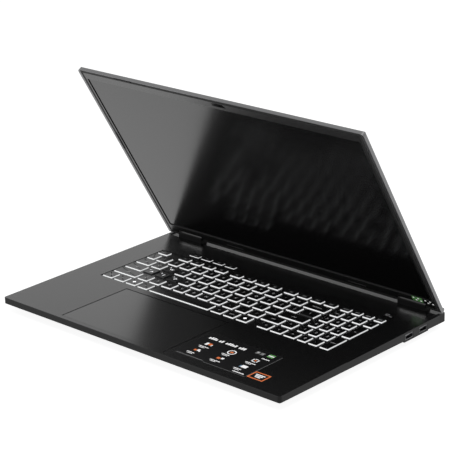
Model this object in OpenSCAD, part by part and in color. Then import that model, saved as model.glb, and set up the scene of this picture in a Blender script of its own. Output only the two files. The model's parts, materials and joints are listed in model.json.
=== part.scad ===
// Large notebook computer with a hinged display lid, built from separate pieces.
// X runs to the user's right, Y towards the hinge, Z up. The origin is the middle of the
// base's footprint on the desk. Lid pieces are drawn closed and then turned about the hinge axis.

/* [Base] */
// Width of the base and of the lid
base_w = 402.6; // [380:0.1:424]
// Depth of the base
base_d = 272; // [260:1:290]
// Height of the base body, from its underside to the palm rest
body_h = 16.5; // [16:0.5:20]
// Height of the rubber feet under the base body
foot_h = 2; // [1.5:0.1:3]
// Height of the upright front wall below the palm rest
wall_h = 6.9; // [6:0.1:9]
// Fall of the side walls' lower edge from the front to the rear
side_fall = 3.2; // [0:0.1:4]
// Radius of the front corners of the base seen from above
corner_r = 3.5; // [2:0.5:8]
// Radius of the rear corners of the base seen from above
rear_corner_r = 1.5; // [1:0.5:6]
// Run of the slanted underside at the front and the sides
slope_run = 24; // [20:1:30]
// Wall thickness of the two base shells
shell_t = 1.5; // [1.2:0.1:2]
// Thickness of the palm rest and deck plate
deck_t = 2; // [1.8:0.1:2.5]
// Chamfer along the top edge of the base
edge_bevel = 0.5; // [0.3:0.1:1]
// Depth of the step between the palm rest and the rear deck
deck_step = 0.3; // [0.2:0.1:0.4]

/* [Lid] */
// Thickness of the closed lid
lid_t = 5.6; // [5.4:0.1:7]
// Gap between the palm rest and the closed lid
lid_gap = 0.9; // [0.8:0.1:1.5]
// Opening angle of the lid at rest
lid_angle = 59.4; // [0:0.1:130]
// Overhang of the closed lid past the front of the base
lid_overhang = 1; // [0:0.1:2]
// Corner radius of the lid's free corners
lid_corner_r = 4; // [3:0.5:8]
// Chamfer around the back of the lid
lid_bevel = 1.6; // [0.5:0.1:2]
// Thickness of the lid's back sheet
lid_sheet_t = 1.2; // [1:0.1:1.5]
// Width of the rim at the lid's sides
rim_w = 3.4; // [2:0.1:4]
// Width of the rim at the lid's free edge
top_rim = 0.6; // [0.5:0.1:2]
// Width of the rubber gasket between the rim and the bezel
gasket_w = 3; // [1.5:0.1:4]
// Thickness of the bezel
bezel_t = 0.9; // [0.8:0.1:1.1]
// Distance from the hinge axis to the rear edge of the base
hinge_back = 5; // [4.5:0.1:6]
// Depth of the gutter under the lid's hinged edge
gutter_depth = 1.2; // [0.8:0.1:2.5]

/* [Display] */
// Width of the bezel beside the visible display
side_border = 2; // [1.8:0.1:6]
// Width of the bezel above the visible display
top_border = 8.8; // [7.5:0.1:14]
// Distance from the hinge axis to the lower edge of the visible display
screen_lift = 14.5; // [13:0.1:20]
// Thickness of the display panel
panel_t = 2.2; // [1.8:0.1:2.4]
// Border of the panel hidden under the bezel
panel_border = 1.5; // [1:0.1:1.6]
// Length of a bumper strip
bumper_l = 25; // [15:1:40]
// Height of a bumper strip
bumper_h = 0.7; // [0.4:0.1:0.8]
// Width of the camera window
camera_w = 19.3; // [15:0.1:40]
// Height of the camera window
camera_d = 4.2; // [3:0.1:4.5]

/* [Hinges] */
// Width of a hinge block
block_w = 36.2; // [30:0.1:45]
// Distance from the side of the base to a hinge block
block_inset = 19.6; // [14:0.1:24]
// Distance from the hinge axis to the front of a hinge block
block_front = 6; // [5.5:0.1:7]
// Side clearance between a hinge block and the lid
block_gap = 0.8; // [0.5:0.1:1.2]
// Radius of the hinge shaft
shaft_r = 1.2; // [1:0.05:1.3]
// Radial running clearance of a shaft in its bore
shaft_play = 0.05; // [0.02:0.01:0.08]
// Outer radius of the hinge barrel
barrel_r = 2; // [1.8:0.05:2.2]

/* [Keyboard] */
// Pitch from row to row
row_pitch = 18; // [17:0.05:18.2]
// Column pitch of the number pad
num_pitch = 15.1; // [14.5:0.05:15.2]
// Gap between two neighbouring keys
key_gap = 3.8; // [3:0.1:4.5]
// Distance from the left side of the base to the keyboard's first column
key_left = 35.1; // [28:0.1:38]
// Distance from the right side of the base to the keyboard's last column
key_right = 33.6; // [28:0.1:38]
// Distance from the front of the base to the front of the first key row
key_front = 116.6; // [112:0.1:118]
// Depth of a full key
key_d = 14.4; // [13.5:0.1:14.6]
// Depth of a function key
fkey_d = 9; // [8:0.1:10]
// Depth of a media key
media_d = 6.8; // [6:0.1:7]
// Depth of the keyboard well below the palm rest
well_depth = 0.9; // [0.6:0.1:1]
// Height of a key top above the well's floor
key_rise = 1.3; // [1:0.1:1.4]
// Height of a key cap
key_h = 2; // [1.8:0.1:2.2]
// Travel of a key
key_travel = 1.7; // [1.2:0.1:1.7]
// Clearance around a key in its opening
key_play = 0.35; // [0.25:0.05:0.4]
// Thickness of the keyboard's base plate
key_plate_t = 0.6; // [0.4:0.1:0.8]

/* [Touchpad] */
// Width of the touchpad
pad_w = 150.4; // [120:0.5:155]
// Depth of the touchpad
pad_d = 97; // [80:0.5:98]
// Distance from the left side of the base to the touchpad
pad_left = 89.5; // [80:0.5:100]
// Distance from the front of the base to the touchpad
pad_front = 6.3; // [6:0.1:8]
// Thickness of the touchpad plate
pad_t = 1.5; // [1.2:0.1:1.6]
// Gap around the touchpad
pad_gap = 0.4; // [0.3:0.05:0.5]
// Drop of the touchpad's front edge when it is pressed
pad_drop = 0.6; // [0.4:0.1:0.7]

/* [Cooling] */
// Thickness of a fan housing
fan_t = 8; // [7:0.5:8]
// Radius of a fan rotor
rotor_r = 30; // [26:0.5:31]
// Radius of a rotor's hub
hub_r = 11; // [9:0.5:13]
// Number of blades on a rotor
blade_n = 25; // [15:1:35]
// Radius of a fan's shaft
fan_shaft_r = 2; // [1.5:0.1:2.5]
// Thickness of a flattened heat pipe
pipe_t = 2.5; // [2:0.1:2.5]
// Width of a flattened heat pipe
pipe_w = 8; // [6:0.5:9]

/* [Power and ports] */
// Length of the battery pack
battery_w = 230; // [180:1:255]
// Thickness of the battery pack
battery_t = 7.5; // [5:0.5:8]
// Width of a type A socket
usb_a_w = 13.1; // [12.5:0.1:14]
// Height of a type A socket
usb_a_h = 5.7; // [5.5:0.1:6]
// Distance from the rear of the base to the rear type A socket
usb_a_back = 32.9; // [25:0.1:45]
// Pitch of the two type A sockets
usb_a_pitch = 24.5; // [20:0.1:30]
// Depth of the sockets into the base
socket_l = 16; // [14:0.5:16]
// Radius of the audio jack's bore
audio_r = 1.8; // [1.78:0.01:1.85]
// Radius of the power inlet's bore
inlet_r = 2.8; // [2.6:0.05:2.9]
// Radius of a case screw's shank
screw_r = 1.1; // [1:0.1:1.2]

/* [Hidden] */
$fn = 48;
bit = 0.01;
over = 1;
fit = 0.2;
slide = 0.3;

// Levels of the base
belly_z = foot_h;
floor_z = belly_z + shell_t;
deck_z = foot_h + body_h;
rear_deck_z = deck_z - deck_step;
split_z = deck_z - wall_h;
rear_seam_z = split_z - side_fall;
ceiling_z = deck_z - deck_t;
well_z = deck_z - well_depth;
key_top_z = well_z + key_rise;
key_plate_z = key_top_z - key_h - key_travel - slide - key_plate_t;
half_w = base_w / 2;
half_d = base_d / 2;
slope_h = split_z - belly_z;
seam_angle = atan(side_fall / base_d);
slope_skin = shell_t * sqrt(1 + pow(slope_run / slope_h, 2));
flat_x = half_w - slope_skin - (split_z - floor_z) * slope_run / slope_h;
flat_y = half_d - slope_skin - (split_z - floor_z) * slope_run / slope_h;
rear_run = 3;

// Hinge axis and lid
axis_y = half_d - hinge_back;
lid_z = deck_z + lid_gap;
axis_z = lid_z + lid_t / 2;
lid_back_z = lid_z + lid_t;
lid_front_y = -half_d - lid_overhang;
lid_l = axis_y - lid_front_y;
lid_r = lid_t / 2;
gutter_y = axis_y - 4.5;
gutter_z = rear_deck_z - gutter_depth;
gutter_x = half_w - 4;
block_x0 = -half_w + block_inset;
block_x1 = block_x0 + block_w;
block_y0 = axis_y - block_front;
block_y1 = half_d - 0.5;
block_top = lid_back_z - 0.1;
block_bevel = 1;
notch_s = block_front + block_gap;
arm_x0 = block_x1 + 2.5;
arm_x1 = arm_x0 + 17.5;
arm_foot_s = 52;
arm_block_s = screen_lift - panel_border - 1;
barrel_x0 = block_x0 + 3.5;
barrel_x1 = block_x1 - 3;
ledge = 1.2;
pocket_s = notch_s + lid_sheet_t;
bezel_side = rim_w + gasket_w + 2 * fit;
bezel_top = top_rim + gasket_w + 2 * fit;
screen_w = base_w - 2 * (bezel_side + side_border);
screen_y0 = lid_front_y + bezel_top + top_border;
screen_y1 = axis_y - screen_lift;
pocket_y0 = lid_front_y + top_rim + ledge + fit;
camera_x0 = -1.5;
camera_slant = 4;
camera_y0 = lid_front_y + bezel_top + 0.8;
side_bumper_s = 156.4;
top_bumper_x = half_w - 70.6;
chin_bumper_x = half_w - 111.3;
bumper_w = 1.8;
panel_board_w = 140;
antenna_x1 = half_w - 96.3;
antenna_w = 45;
arm_half = lid_r - lid_sheet_t - fit;
hinge_plate_t = 1.4;
leg_t = 2;

// Keyboard grid. The arrow keys reach under the first column of the number pad.
main_units = 15.6;
key_pitch = (base_w - key_left - key_right - 3 * num_pitch) / main_units;
key_x0 = -half_w + key_left;
key_y0 = -half_d + key_front;
half_gap = key_gap / 2;
num_x0 = key_x0 + main_units * key_pitch - num_pitch;
f_y = key_y0 + 5 * row_pitch + 0.2;
media_y = f_y + fkey_d + 7.7;
keys_x1 = num_x0 + 4 * num_pitch - half_gap;
keys_y1 = media_y + media_d;
frame_x0 = key_x0 + half_gap - key_play - slide - shell_t;
frame_x1 = keys_x1 + key_play + slide + shell_t;
frame_y0 = key_y0 - key_play - slide - shell_t;
frame_y1 = keys_y1 + key_play + slide + shell_t;
well_margin = 1.6;
number_keys = [for (i = [0:11]) [0.8 + i, 1.8 + i, 4]];
number_row = concat([[0, 0.8, 4]], number_keys);
upper_row = concat([[0, 1.3, 3], [1.3, 2.3, 3]], [for (i = [0:9]) [3.3 + i, 4.3 + i, 3]], [[13.3, 14.6, 3]]);
home_row = concat([[0, 1.55, 2]], [for (i = [0:7]) [4.55 + i, 5.55 + i, 2]]);
lower_row = concat([[0, 2.05, 1]], [for (i = [0:9]) [2.05 + i, 3.05 + i, 1]], [[12.05, 13.6, 1]]);
bottom_row = concat([for (i = [0:3]) [i, i + 1, 0]], [for (i = [9:11]) [i, i + 1, 0]]);
steer_keys = [[2.3, 3.3, 3], [1.55, 2.55, 2], [2.55, 3.55, 2], [3.55, 4.55, 2]];
arrow_keys = [[13.6, 14.6, 1], [12.6, 13.6, 0], [13.6, 14.6, 0], [14.6, 15.6, 0]];
space_key = [[4, 9, 0]];
backspace_key = [[12.8, 14.6, 4]];
enter_key = [[12.55, 14.6, 2]];
f_pitch = 1.02;
f_starts = [1.78, 6.13, 10.48];
f_units = [for (s = f_starts) for (i = [0:3]) s + i * f_pitch];
media_units = [for (i = [0:3]) 1.88 + i];
num_small = concat([for (c = [0:3]) [c, 4]], [for (r = [1:3]) for (c = [0:2]) [c, r]], [[1, 0], [2, 0]]);
power_x0 = num_x0 + 3 * num_pitch + half_gap;
power_w = num_pitch - key_gap;
power_d = 7;
crease_front = 104;
crease_run = 41;
crease_gap = 4.6;

// Touchpad
pad_x0 = -half_w + pad_left;
pad_y0 = -half_d + pad_front;
pad_z1 = deck_z - 0.1;
pad_z0 = pad_z1 - pad_t;
bracket_z = pad_z0 - pad_drop - 2.1;
bracket_wall = 2;
bracket_floor = 0.8;

// Cooling, placed from the rear and the sides of the base
side_room = 38.3;
fan_w = 2 * rotor_r + 18;
fan_d = 2 * rotor_r + 14;
fan_wall = 1;
fan_cavity_r = rotor_r + 2;
hub_room = 6;
pipe_z = floor_z + slide;
fin_z = pipe_z + pipe_t;
fin_top = fin_z + 4.9;
fin_t = 0.5;
fin_pitch = 3;
fin_y1 = half_d - 5;
fin_y0 = fin_y1 - 16;
fan_x = half_w - side_room - fan_w / 2;
fan_y = fin_y0 - 3 - fan_d / 2;
fin_x0 = fan_x - fan_w / 2;
fin_x1 = fan_x + fan_w / 2;
pipe_y = fin_y0 + 3;
riser_x = fin_x0 - 19;
spreader_x = fin_x0 - 7;
slot_pitch = 5;
slot_w = 3.4;
slot_n = floor((fan_w - 4 - slot_w) / slot_pitch) + 1;
slot_rib = 0.6;

// Battery and speakers, placed from the front of the base
battery_y0 = -half_d + 40;
battery_y1 = battery_y0 + 56;
battery_board_d = 5;
speaker_x0 = battery_w / 2 + 13;
speaker_x1 = flat_x - 9;
speaker_y0 = battery_y0 + 4;
speaker_y1 = speaker_y0 + 50;
speaker_t = 6;
cone_r = 9;

// Mainboard between the battery and the fans, with a core that reaches back between the fans
board_z = floor_z + 5.7;
board_t = 1.2;
board_core_x = fin_x0 - 5;
board_y0 = battery_y1 + 6;
board_y1 = fan_y - fan_d / 2 - 4;
board_y2 = half_d - 14;
board_x = half_w - 51.3;
board_hole_x = 20;
chip_t = 1.6;
chip_y1 = board_y0 + 78;
cpu_x0 = -56;
cpu_w = 26;
gpu_x0 = 32;
gpu_w = 28;
gpu_d = 30;
spreader_margin = 6;
post_inset = 6;
boss_r = 2.8;
front_screw_x = half_w - 51.3;
front_screw_y = -flat_y + boss_r + 8;
side_screw_x = flat_x - boss_r - 1;
rear_screw_y = half_d - rear_run - shell_t - boss_r - 1;
case_screw_places = [[-front_screw_x, front_screw_y], [front_screw_x / 2, front_screw_y],
    [front_screw_x, front_screw_y], [-side_screw_x, 0], [side_screw_x, 0],
    [0, rear_screw_y], [-side_screw_x, rear_screw_y], [side_screw_x, rear_screw_y]];
screw_head_r = 2.4;
screw_head_h = 0.9;
screw_l = 7;
post_r = 2.5;
post_x = board_x - 10;
core_post_x = board_core_x - 30;
board_posts = [[-post_x, board_y0 + post_inset], [0, board_y0 + post_inset], [post_x, board_y0 + post_inset],
    [-post_x, board_y1 - post_inset], [post_x, board_y1 - post_inset],
    [-core_post_x, board_y2 - post_inset], [core_post_x, board_y2 - post_inset]];

// Rubber feet
foot_r = 2;
foot_d = 8;
front_foot_w = 50;
front_foot_x = half_w - 86.3;
front_foot_y = -half_d + 36;
rear_foot_w = 90;
rear_foot_x = half_w - 81.3;
rear_foot_y = half_d - 22;

// Sockets in the side walls, placed from the rear of the base
socket_z = split_z - 2;
boss_z = socket_z - 2;
boss_depth = 12;
boss_margin = 2;
usb_a_y = [for (i = [1, 0]) half_d - usb_a_back - usb_a_w - i * usb_a_pitch];
side_board_t = 1.2;
side_board_x1 = half_w - socket_l + 3;
side_board_x0 = side_board_x1 - 20.5;
inlet_y = half_d - 42;
inlet_w = 9;
inlet_h = 6.8;
video_y = half_d - 66;
video_w = 15.4;
video_h = 6.2;
usb_c_y = [half_d - 92, half_d - 80];
usb_c_w = 9.4;
usb_c_h = 3.8;
audio_y = half_d - 107;
audio_w = 7;
audio_h = 6;
left_y0 = audio_y - 7;
left_y1 = inlet_y + inlet_w + 3;
mouth = 0.4;
side_post_x = side_board_x0 + 4;
right_post_y = (usb_a_y[0] + usb_a_w + usb_a_y[1]) / 2;
left_posts_y = [audio_y + 9, inlet_y - 8];

// ---- Shared shapes ----

module box(x0, x1, y0, y1, z0, z1) {
  translate([x0, y0, z0]) cube([x1 - x0, y1 - y0, z1 - z0]);
}

module rod_x(x0, x1, y, z, r) {
  translate([x0, y, z]) rotate([0, 90, 0]) cylinder(r = r, h = x1 - x0);
}

module post(x, y, z0, z1, r) {
  translate([x, y, z0]) cylinder(r = r, h = z1 - z0);
}

module both_sides() {
  children();
  mirror([1, 0, 0]) children();
}

// A profile in Y and Z, drawn out along X
module along_x(x0, x1) {
  translate([x0, 0, 0]) rotate([90, 0, 90]) linear_extrude(x1 - x0) children();
}

// A profile in X and Z, drawn out along Y
module along_y(y0, y1) {
  translate([0, y1, 0]) rotate([90, 0, 0]) linear_extrude(y1 - y0) children();
}

module rounded(w, d, r) {
  square([w - 2 * r, d], center = true);
  square([w, d - 2 * r], center = true);
  for (x = [-1, 1]) for (y = [-1, 1]) translate([x * (w / 2 - r), y * (d / 2 - r)]) circle(r);
}

// Turns a piece drawn on the closed lid to the lid's resting angle
module on_lid() {
  translate([0, axis_y, axis_z]) rotate([-lid_angle, 0, 0]) translate([0, -axis_y, -axis_z]) children();
}

// ---- Base shells ----

module base_outline() {
  translate([-half_w, -half_d + corner_r]) square([base_w, base_d - corner_r - rear_corner_r]);
  translate([-half_w + corner_r, -half_d]) square([base_w - 2 * corner_r, 2 * corner_r]);
  translate([-half_w + rear_corner_r, half_d - 2 * rear_corner_r])
    square([base_w - 2 * rear_corner_r, 2 * rear_corner_r]);
  for (x = [-1, 1]) {
    translate([x * (half_w - corner_r), -half_d + corner_r]) circle(corner_r);
    translate([x * (half_w - rear_corner_r), half_d - rear_corner_r]) circle(rear_corner_r);
  }
}

module base_plan(z0, z1) {
  translate([0, 0, z0]) linear_extrude(z1 - z0) base_outline();
}

// Tilts the side slopes about the front edge, so that they fall towards the rear with the seam
module seam_tilt() {
  translate([0, -half_d, split_z]) rotate([-seam_angle, 0, 0]) translate([0, half_d, -split_z]) children();
}

// Underside tray. Its room is drawn with a skin and rises past the seam; the tray itself ends there.
module tray(skin, z0, rise) {
  run = (split_z - z0) * slope_run / slope_h;
  low = z0 - body_h;
  low_run = (split_z - low) * slope_run / slope_h;
  rear = skin > 0 ? shell_t : 0;
  intersection() {
    base_plan(z0, split_z + rise);
    along_x(-half_w, half_w) polygon(concat(rise > 0 ? [[-half_d + skin, split_z + rise]] : [],
        [[-half_d + skin, split_z], [-half_d + skin + run, z0], [half_d - rear - rear_run, z0],
        [half_d - rear, z0 + rear_run], [half_d - rear, rear_seam_z + rise]]));
    seam_tilt() along_y(-half_d - slope_run, half_d + slope_run) polygon([[-half_w + skin, deck_z],
        [-half_w + skin, split_z], [-half_w + skin + low_run, low], [half_w - skin - low_run, low],
        [half_w - skin, split_z], [half_w - skin, deck_z]]);
  }
}

// Room for the socket surrounds that reach below the side wall
module surround_room(gap) {
  m = boss_margin + gap;
  x = half_w - boss_depth - gap;
  box(x, half_w + over, usb_a_y[0] - m, usb_a_y[1] + usb_a_w + m, boss_z - gap, split_z);
  box(-half_w - over, -x, left_y0 - gap, left_y1 + gap, boss_z - gap, split_z);
}

module intake_slots() {
  grille_n = 9;
  grille_pitch = 7;
  for (i = [0:grille_n - 1]) {
    y = fan_y + (i - (grille_n - 1) / 2) * grille_pitch;
    reach = sqrt(pow(fan_cavity_r, 2) - pow(y - fan_y, 2)) - 3;
    box(fan_x - reach, fan_x + reach, y - 1.5, y + 1.5, belly_z - over, floor_z + over);
  }
}

module exhaust_slots(z0, z1) {
  for (i = [0:slot_n - 1]) {
    x = fin_x0 + 2 + i * slot_pitch;
    box(x, x + slot_w, half_d - shell_t - over, half_d + over, z0, z1);
  }
}

module bottom_cover() {
  color([0.07, 0.07, 0.08]) union() {
    difference() {
      tray(0, belly_z, 0);
      tray(slope_skin, floor_z, over);
      surround_room(fit);
      both_sides() intake_slots();
      both_sides() exhaust_slots(belly_z + rear_run + slot_rib, rear_seam_z - slot_rib);
      for (p = case_screw_places) {
        post(p[0], p[1], belly_z - over, floor_z + over, screw_r + fit);
        post(p[0], p[1], belly_z - over, belly_z + screw_head_h, screw_head_r + fit);
      }
    }
    for (p = board_posts) post(p[0], p[1], floor_z - bit, board_z, post_r);
    post(side_post_x, right_post_y, floor_z - bit, socket_z - side_board_t, post_r);
    for (y = left_posts_y) post(-side_post_x, y, floor_z - bit, socket_z - side_board_t, post_r);
  }
}

module rear_deck_step() {
  crease_y = -half_d + crease_front;
  well_y = key_y0 - crease_gap;
  translate([0, 0, rear_deck_z]) linear_extrude(deck_step + over)
    polygon([[-half_w - over, crease_y], [-half_w + crease_run, well_y], [half_w - crease_run, well_y],
        [half_w + over, crease_y], [half_w + over, half_d + over], [-half_w - over, half_d + over]]);
}

module rear_gutter() {
  box(-gutter_x, gutter_x, gutter_y, half_d + over, gutter_z, deck_z + over);
  difference() {
    box(-gutter_x, gutter_x, gutter_y - gutter_depth, gutter_y + bit, gutter_z, deck_z);
    rod_x(-gutter_x - over, gutter_x + over, gutter_y - gutter_depth, gutter_z, gutter_depth);
  }
}

module keyboard_well() {
  m = key_play + well_margin;
  box(key_x0 + half_gap - m, keys_x1 + m, key_y0 - m, f_y + fkey_d + m, well_z, deck_z + over);
}

module deck_openings() {
  g = key_play;
  z0 = ceiling_z - over;
  z1 = deck_z + over;
  for (k = concat(number_row, upper_row, home_row, lower_row, bottom_row, steer_keys, arrow_keys,
      space_key, backspace_key, enter_key)) key_block(k, key_d, g, z0, z1);
  for (c = num_small) num_block(c[0], c[1], c[1], key_d, g, z0, z1);
  num_block(3, 0, 1, key_d, g, z0, z1);
  num_block(3, 2, 3, key_d, g, z0, z1);
  for (u = concat([0], f_units)) unit_block(u, u == 0 ? 1 : f_pitch, f_y, fkey_d, g, z0, z1);
  for (u = media_units) unit_block(u, 1, media_y, media_d, g, z0, z1);
  for (c = [0:3]) column_block(c, f_y, fkey_d, g, z0, z1);
  box(power_x0 - g, power_x0 + power_w + g, media_y - g, media_y + power_d + g, z0, z1);
  box(pad_x0 - pad_gap, pad_x0 + pad_w + pad_gap, pad_y0 - pad_gap, pad_y0 + pad_d + pad_gap, z0, z1);
}

module side_openings() {
  for (y = usb_a_y) box(half_w - boss_depth - over, half_w + over, y - fit, y + usb_a_w + fit,
      socket_z - fit, socket_z + usb_a_h + fit);
  x0 = -half_w - over;
  x1 = -half_w + boss_depth + over;
  box(x0, x1, inlet_y - fit, inlet_y + inlet_w + fit, socket_z - fit, socket_z + inlet_h + fit);
  box(x0, x1, video_y - fit, video_y + video_w + fit, socket_z - fit, socket_z + video_h + fit);
  box(x0, x1, audio_y - fit, audio_y + audio_w + fit, socket_z - fit, socket_z + audio_h + fit);
  for (y = usb_c_y) box(x0, x1, y - fit, y + usb_c_w + fit, socket_z - fit, socket_z + usb_c_h + fit);
}

module top_case() {
  color([0.16, 0.16, 0.17]) difference() {
    union() {
      difference() {
        intersection() {
          base_plan(belly_z, deck_z);
          along_x(-half_w, half_w) polygon([[-half_d, split_z], [-half_d, deck_z - edge_bevel],
              [-half_d + edge_bevel, deck_z], [half_d, deck_z], [half_d, rear_seam_z]]);
          along_y(-half_d, half_d) polygon([[-half_w, belly_z], [-half_w, deck_z - edge_bevel],
              [-half_w + edge_bevel, deck_z], [half_w - edge_bevel, deck_z], [half_w, deck_z - edge_bevel],
              [half_w, belly_z]]);
        }
        box(-half_w + shell_t, half_w - shell_t, -half_d + shell_t, gutter_y - shell_t, belly_z, ceiling_z);
        box(-half_w + shell_t, half_w - shell_t, gutter_y - shell_t - bit, half_d - shell_t,
            belly_z, gutter_z - shell_t);
      }
      intersection() {
        surround_room(0);
        base_plan(boss_z, split_z);
      }
      both_sides() box(half_w - boss_depth, half_w - shell_t + bit, left_y0, left_y1,
          split_z - bit, ceiling_z + bit);
      difference() {
        box(frame_x0, frame_x1, frame_y0, frame_y1, key_plate_z + key_plate_t, ceiling_z + bit);
        box(frame_x0 + shell_t, frame_x1 - shell_t, frame_y0 + shell_t, frame_y1 - shell_t,
            key_plate_z, ceiling_z + over);
      }
      for (p = case_screw_places) {
        boss_top = p[1] > gutter_y - shell_t - boss_r ? gutter_z - shell_t : ceiling_z;
        post(p[0], p[1], floor_z, boss_top + bit, boss_r);
      }
    }
    rear_deck_step();
    rear_gutter();
    keyboard_well();
    deck_openings();
    side_openings();
    for (p = case_screw_places) post(p[0], p[1], floor_z - over, floor_z + screw_l, screw_r + shaft_play);
    both_sides() exhaust_slots(rear_seam_z + slot_rib, fin_top);
    both_sides() box(barrel_x0 - slide, barrel_x1 + slide, axis_y - leg_t / 2 - slide,
        axis_y + leg_t / 2 + slide, gutter_z - shell_t - over, gutter_z + over);
  }
}

module rubber_feet() {
  color([0.03, 0.03, 0.03]) both_sides() {
    translate([front_foot_x, front_foot_y, 0]) linear_extrude(foot_h) rounded(front_foot_w, foot_d, foot_r);
    translate([rear_foot_x, rear_foot_y, 0]) linear_extrude(foot_h) rounded(rear_foot_w, foot_d, foot_r);
  }
}

module case_screws() {
  color([0.3, 0.3, 0.32]) for (p = case_screw_places) difference() {
    union() {
      post(p[0], p[1], belly_z, belly_z + screw_head_h, screw_head_r);
      post(p[0], p[1], belly_z + screw_head_h - bit, floor_z + screw_l - 0.5, screw_r);
    }
    translate([p[0], p[1], belly_z - bit]) cylinder(r = 1.1, h = 0.5, $fn = 6);
  }
}

// ---- Keyboard ----

// A key given by its first and last unit and its row, grown by g on each side
module key_block(k, depth, g, z0, z1) {
  y = key_y0 + k[2] * row_pitch;
  unit_block(k[0], k[1] - k[0], y, depth, g, z0, z1);
}

module unit_block(u, w, y, depth, g, z0, z1) {
  x0 = key_x0 + u * key_pitch + half_gap;
  x1 = key_x0 + (u + w) * key_pitch - half_gap;
  box(x0 - g, x1 + g, y - g, y + depth + g, z0, z1);
}

module column_block(c, y, depth, g, z0, z1) {
  x0 = num_x0 + c * num_pitch + half_gap;
  x1 = num_x0 + (c + 1) * num_pitch - half_gap;
  box(x0 - g, x1 + g, y - g, y + depth + g, z0, z1);
}

// A number pad key in column c that covers the rows r0 to r1
module num_block(c, r0, r1, depth, g, z0, z1) {
  column_block(c, key_y0 + r0 * row_pitch, depth + (r1 - r0) * row_pitch, g, z0, z1);
}

module caps(keys) {
  color([0.05, 0.05, 0.055]) for (k = keys) key_block(k, key_d, 0, key_top_z - key_h, key_top_z);
}

module keys_number() { caps(number_row); }
module key_backspace() { caps(backspace_key); }
module keys_upper() { caps(upper_row); }
module keys_home() { caps(home_row); }
module key_enter() { caps(enter_key); }
module keys_steer() { caps(steer_keys); }
module keys_lower() { caps(lower_row); }
module keys_bottom() { caps(bottom_row); }
module key_space() { caps(space_key); }
module keys_arrow() { caps(arrow_keys); }

module keys_function() {
  color([0.05, 0.05, 0.055]) {
    unit_block(0, 1, f_y, fkey_d, 0, key_top_z - key_h, key_top_z);
    for (u = f_units) unit_block(u, f_pitch, f_y, fkey_d, 0, key_top_z - key_h, key_top_z);
  }
}

module keys_media() {
  color([0.05, 0.05, 0.055]) for (u = media_units)
    unit_block(u, 1, media_y, media_d, 0, key_top_z - key_h, key_top_z);
}

module keys_navigation() {
  color([0.05, 0.05, 0.055]) for (c = [0:3])
    column_block(c, f_y, fkey_d, 0, key_top_z - key_h, key_top_z);
}

module keys_numpad() {
  color([0.05, 0.05, 0.055]) for (c = num_small)
    num_block(c[0], c[1], c[1], key_d, 0, key_top_z - key_h, key_top_z);
}

module key_plus() {
  color([0.05, 0.05, 0.055]) num_block(3, 2, 3, key_d, 0, key_top_z - key_h, key_top_z);
}

module key_numpad_enter() {
  color([0.05, 0.05, 0.055]) num_block(3, 0, 1, key_d, 0, key_top_z - key_h, key_top_z);
}

module power_button() {
  color([0.12, 0.12, 0.13])
    box(power_x0, power_x0 + power_w, media_y, media_y + power_d, key_top_z - key_h, rear_deck_z + 0.1);
}

module keyboard_plate() {
  color([0.55, 0.56, 0.58])
    box(frame_x0, frame_x1, frame_y0, frame_y1, key_plate_z, key_plate_z + key_plate_t);
}

// ---- Touchpad ----

module touchpad() {
  color([0.13, 0.13, 0.14]) box(pad_x0, pad_x0 + pad_w, pad_y0, pad_y0 + pad_d, pad_z0, pad_z1);
}

module touchpad_bracket() {
  g = pad_gap + slide;
  x0 = pad_x0 - g;
  x1 = pad_x0 + pad_w + g;
  y0 = pad_y0 - g;
  y1 = pad_y0 + pad_d + g;
  w = bracket_wall;
  color([0.5, 0.5, 0.52]) union() {
    difference() {
      box(x0 - w, x1 + w, y0 - w, y1 + w, bracket_z, ceiling_z);
      box(x0, x1, y0, y1, bracket_z + bracket_floor, ceiling_z + over);
    }
    post(pad_x0 + pad_w / 2, pad_y0 + 12, bracket_z + bracket_floor - bit, pad_z0 - pad_drop, 3);
  }
}

// ---- Boards, drives and battery ----

module mainboard() {
  color([0.05, 0.25, 0.12]) difference() {
    union() {
      box(-board_x, board_x, board_y0, board_y1, board_z, board_z + board_t);
      box(-board_core_x, board_core_x, board_y1 - bit, board_y2, board_z, board_z + board_t);
    }
    for (x = [-board_hole_x, board_hole_x])
      post(x, board_y2 - 32, board_z - over, board_z + board_t + over, 3);
  }
}

module processor_chips() {
  color([0.25, 0.27, 0.3]) {
    box(cpu_x0, cpu_x0 + cpu_w, chip_y1 - cpu_w, chip_y1, board_z - chip_t, board_z);
    box(gpu_x0, gpu_x0 + gpu_w, chip_y1 - gpu_d, chip_y1, board_z - chip_t, board_z);
  }
}

module heat_spreaders() {
  m = spreader_margin;
  color([0.72, 0.45, 0.3]) {
    box(-spreader_x, cpu_x0 + cpu_w + m, chip_y1 - cpu_w - m, chip_y1 + m, fin_z, board_z - chip_t);
    box(gpu_x0 - m, spreader_x, chip_y1 - gpu_d - m, chip_y1 + m, fin_z, board_z - chip_t);
  }
}

module heat_pipes() {
  color([0.78, 0.45, 0.28]) both_sides() {
    box(riser_x, riser_x + pipe_w, chip_y1 - gpu_d, pipe_y + pipe_w, pipe_z, fin_z);
    box(riser_x, fin_x1, pipe_y, pipe_y + pipe_w, pipe_z, fin_z);
  }
}

module memory_modules() {
  color([0.04, 0.3, 0.14]) for (y = [board_y0 + 10, board_y0 + 40]) {
    box(-20, 20, y, y + 22, board_z - 2.6, board_z - 1.4);
    box(-22, 22, y + 22 - bit, y + 27, board_z - 3.4, board_z);
  }
}

module storage_drive() {
  color([0.05, 0.12, 0.25]) {
    box(-board_x + 22, -board_x + 44, board_y0 + 4, board_y0 + 36, board_z - 2.8, board_z - 0.6);
    box(-board_x + 22, -board_x + 44, board_y0 + 36 - bit, board_y0 + 41, board_z - 3.2, board_z);
  }
}

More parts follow.
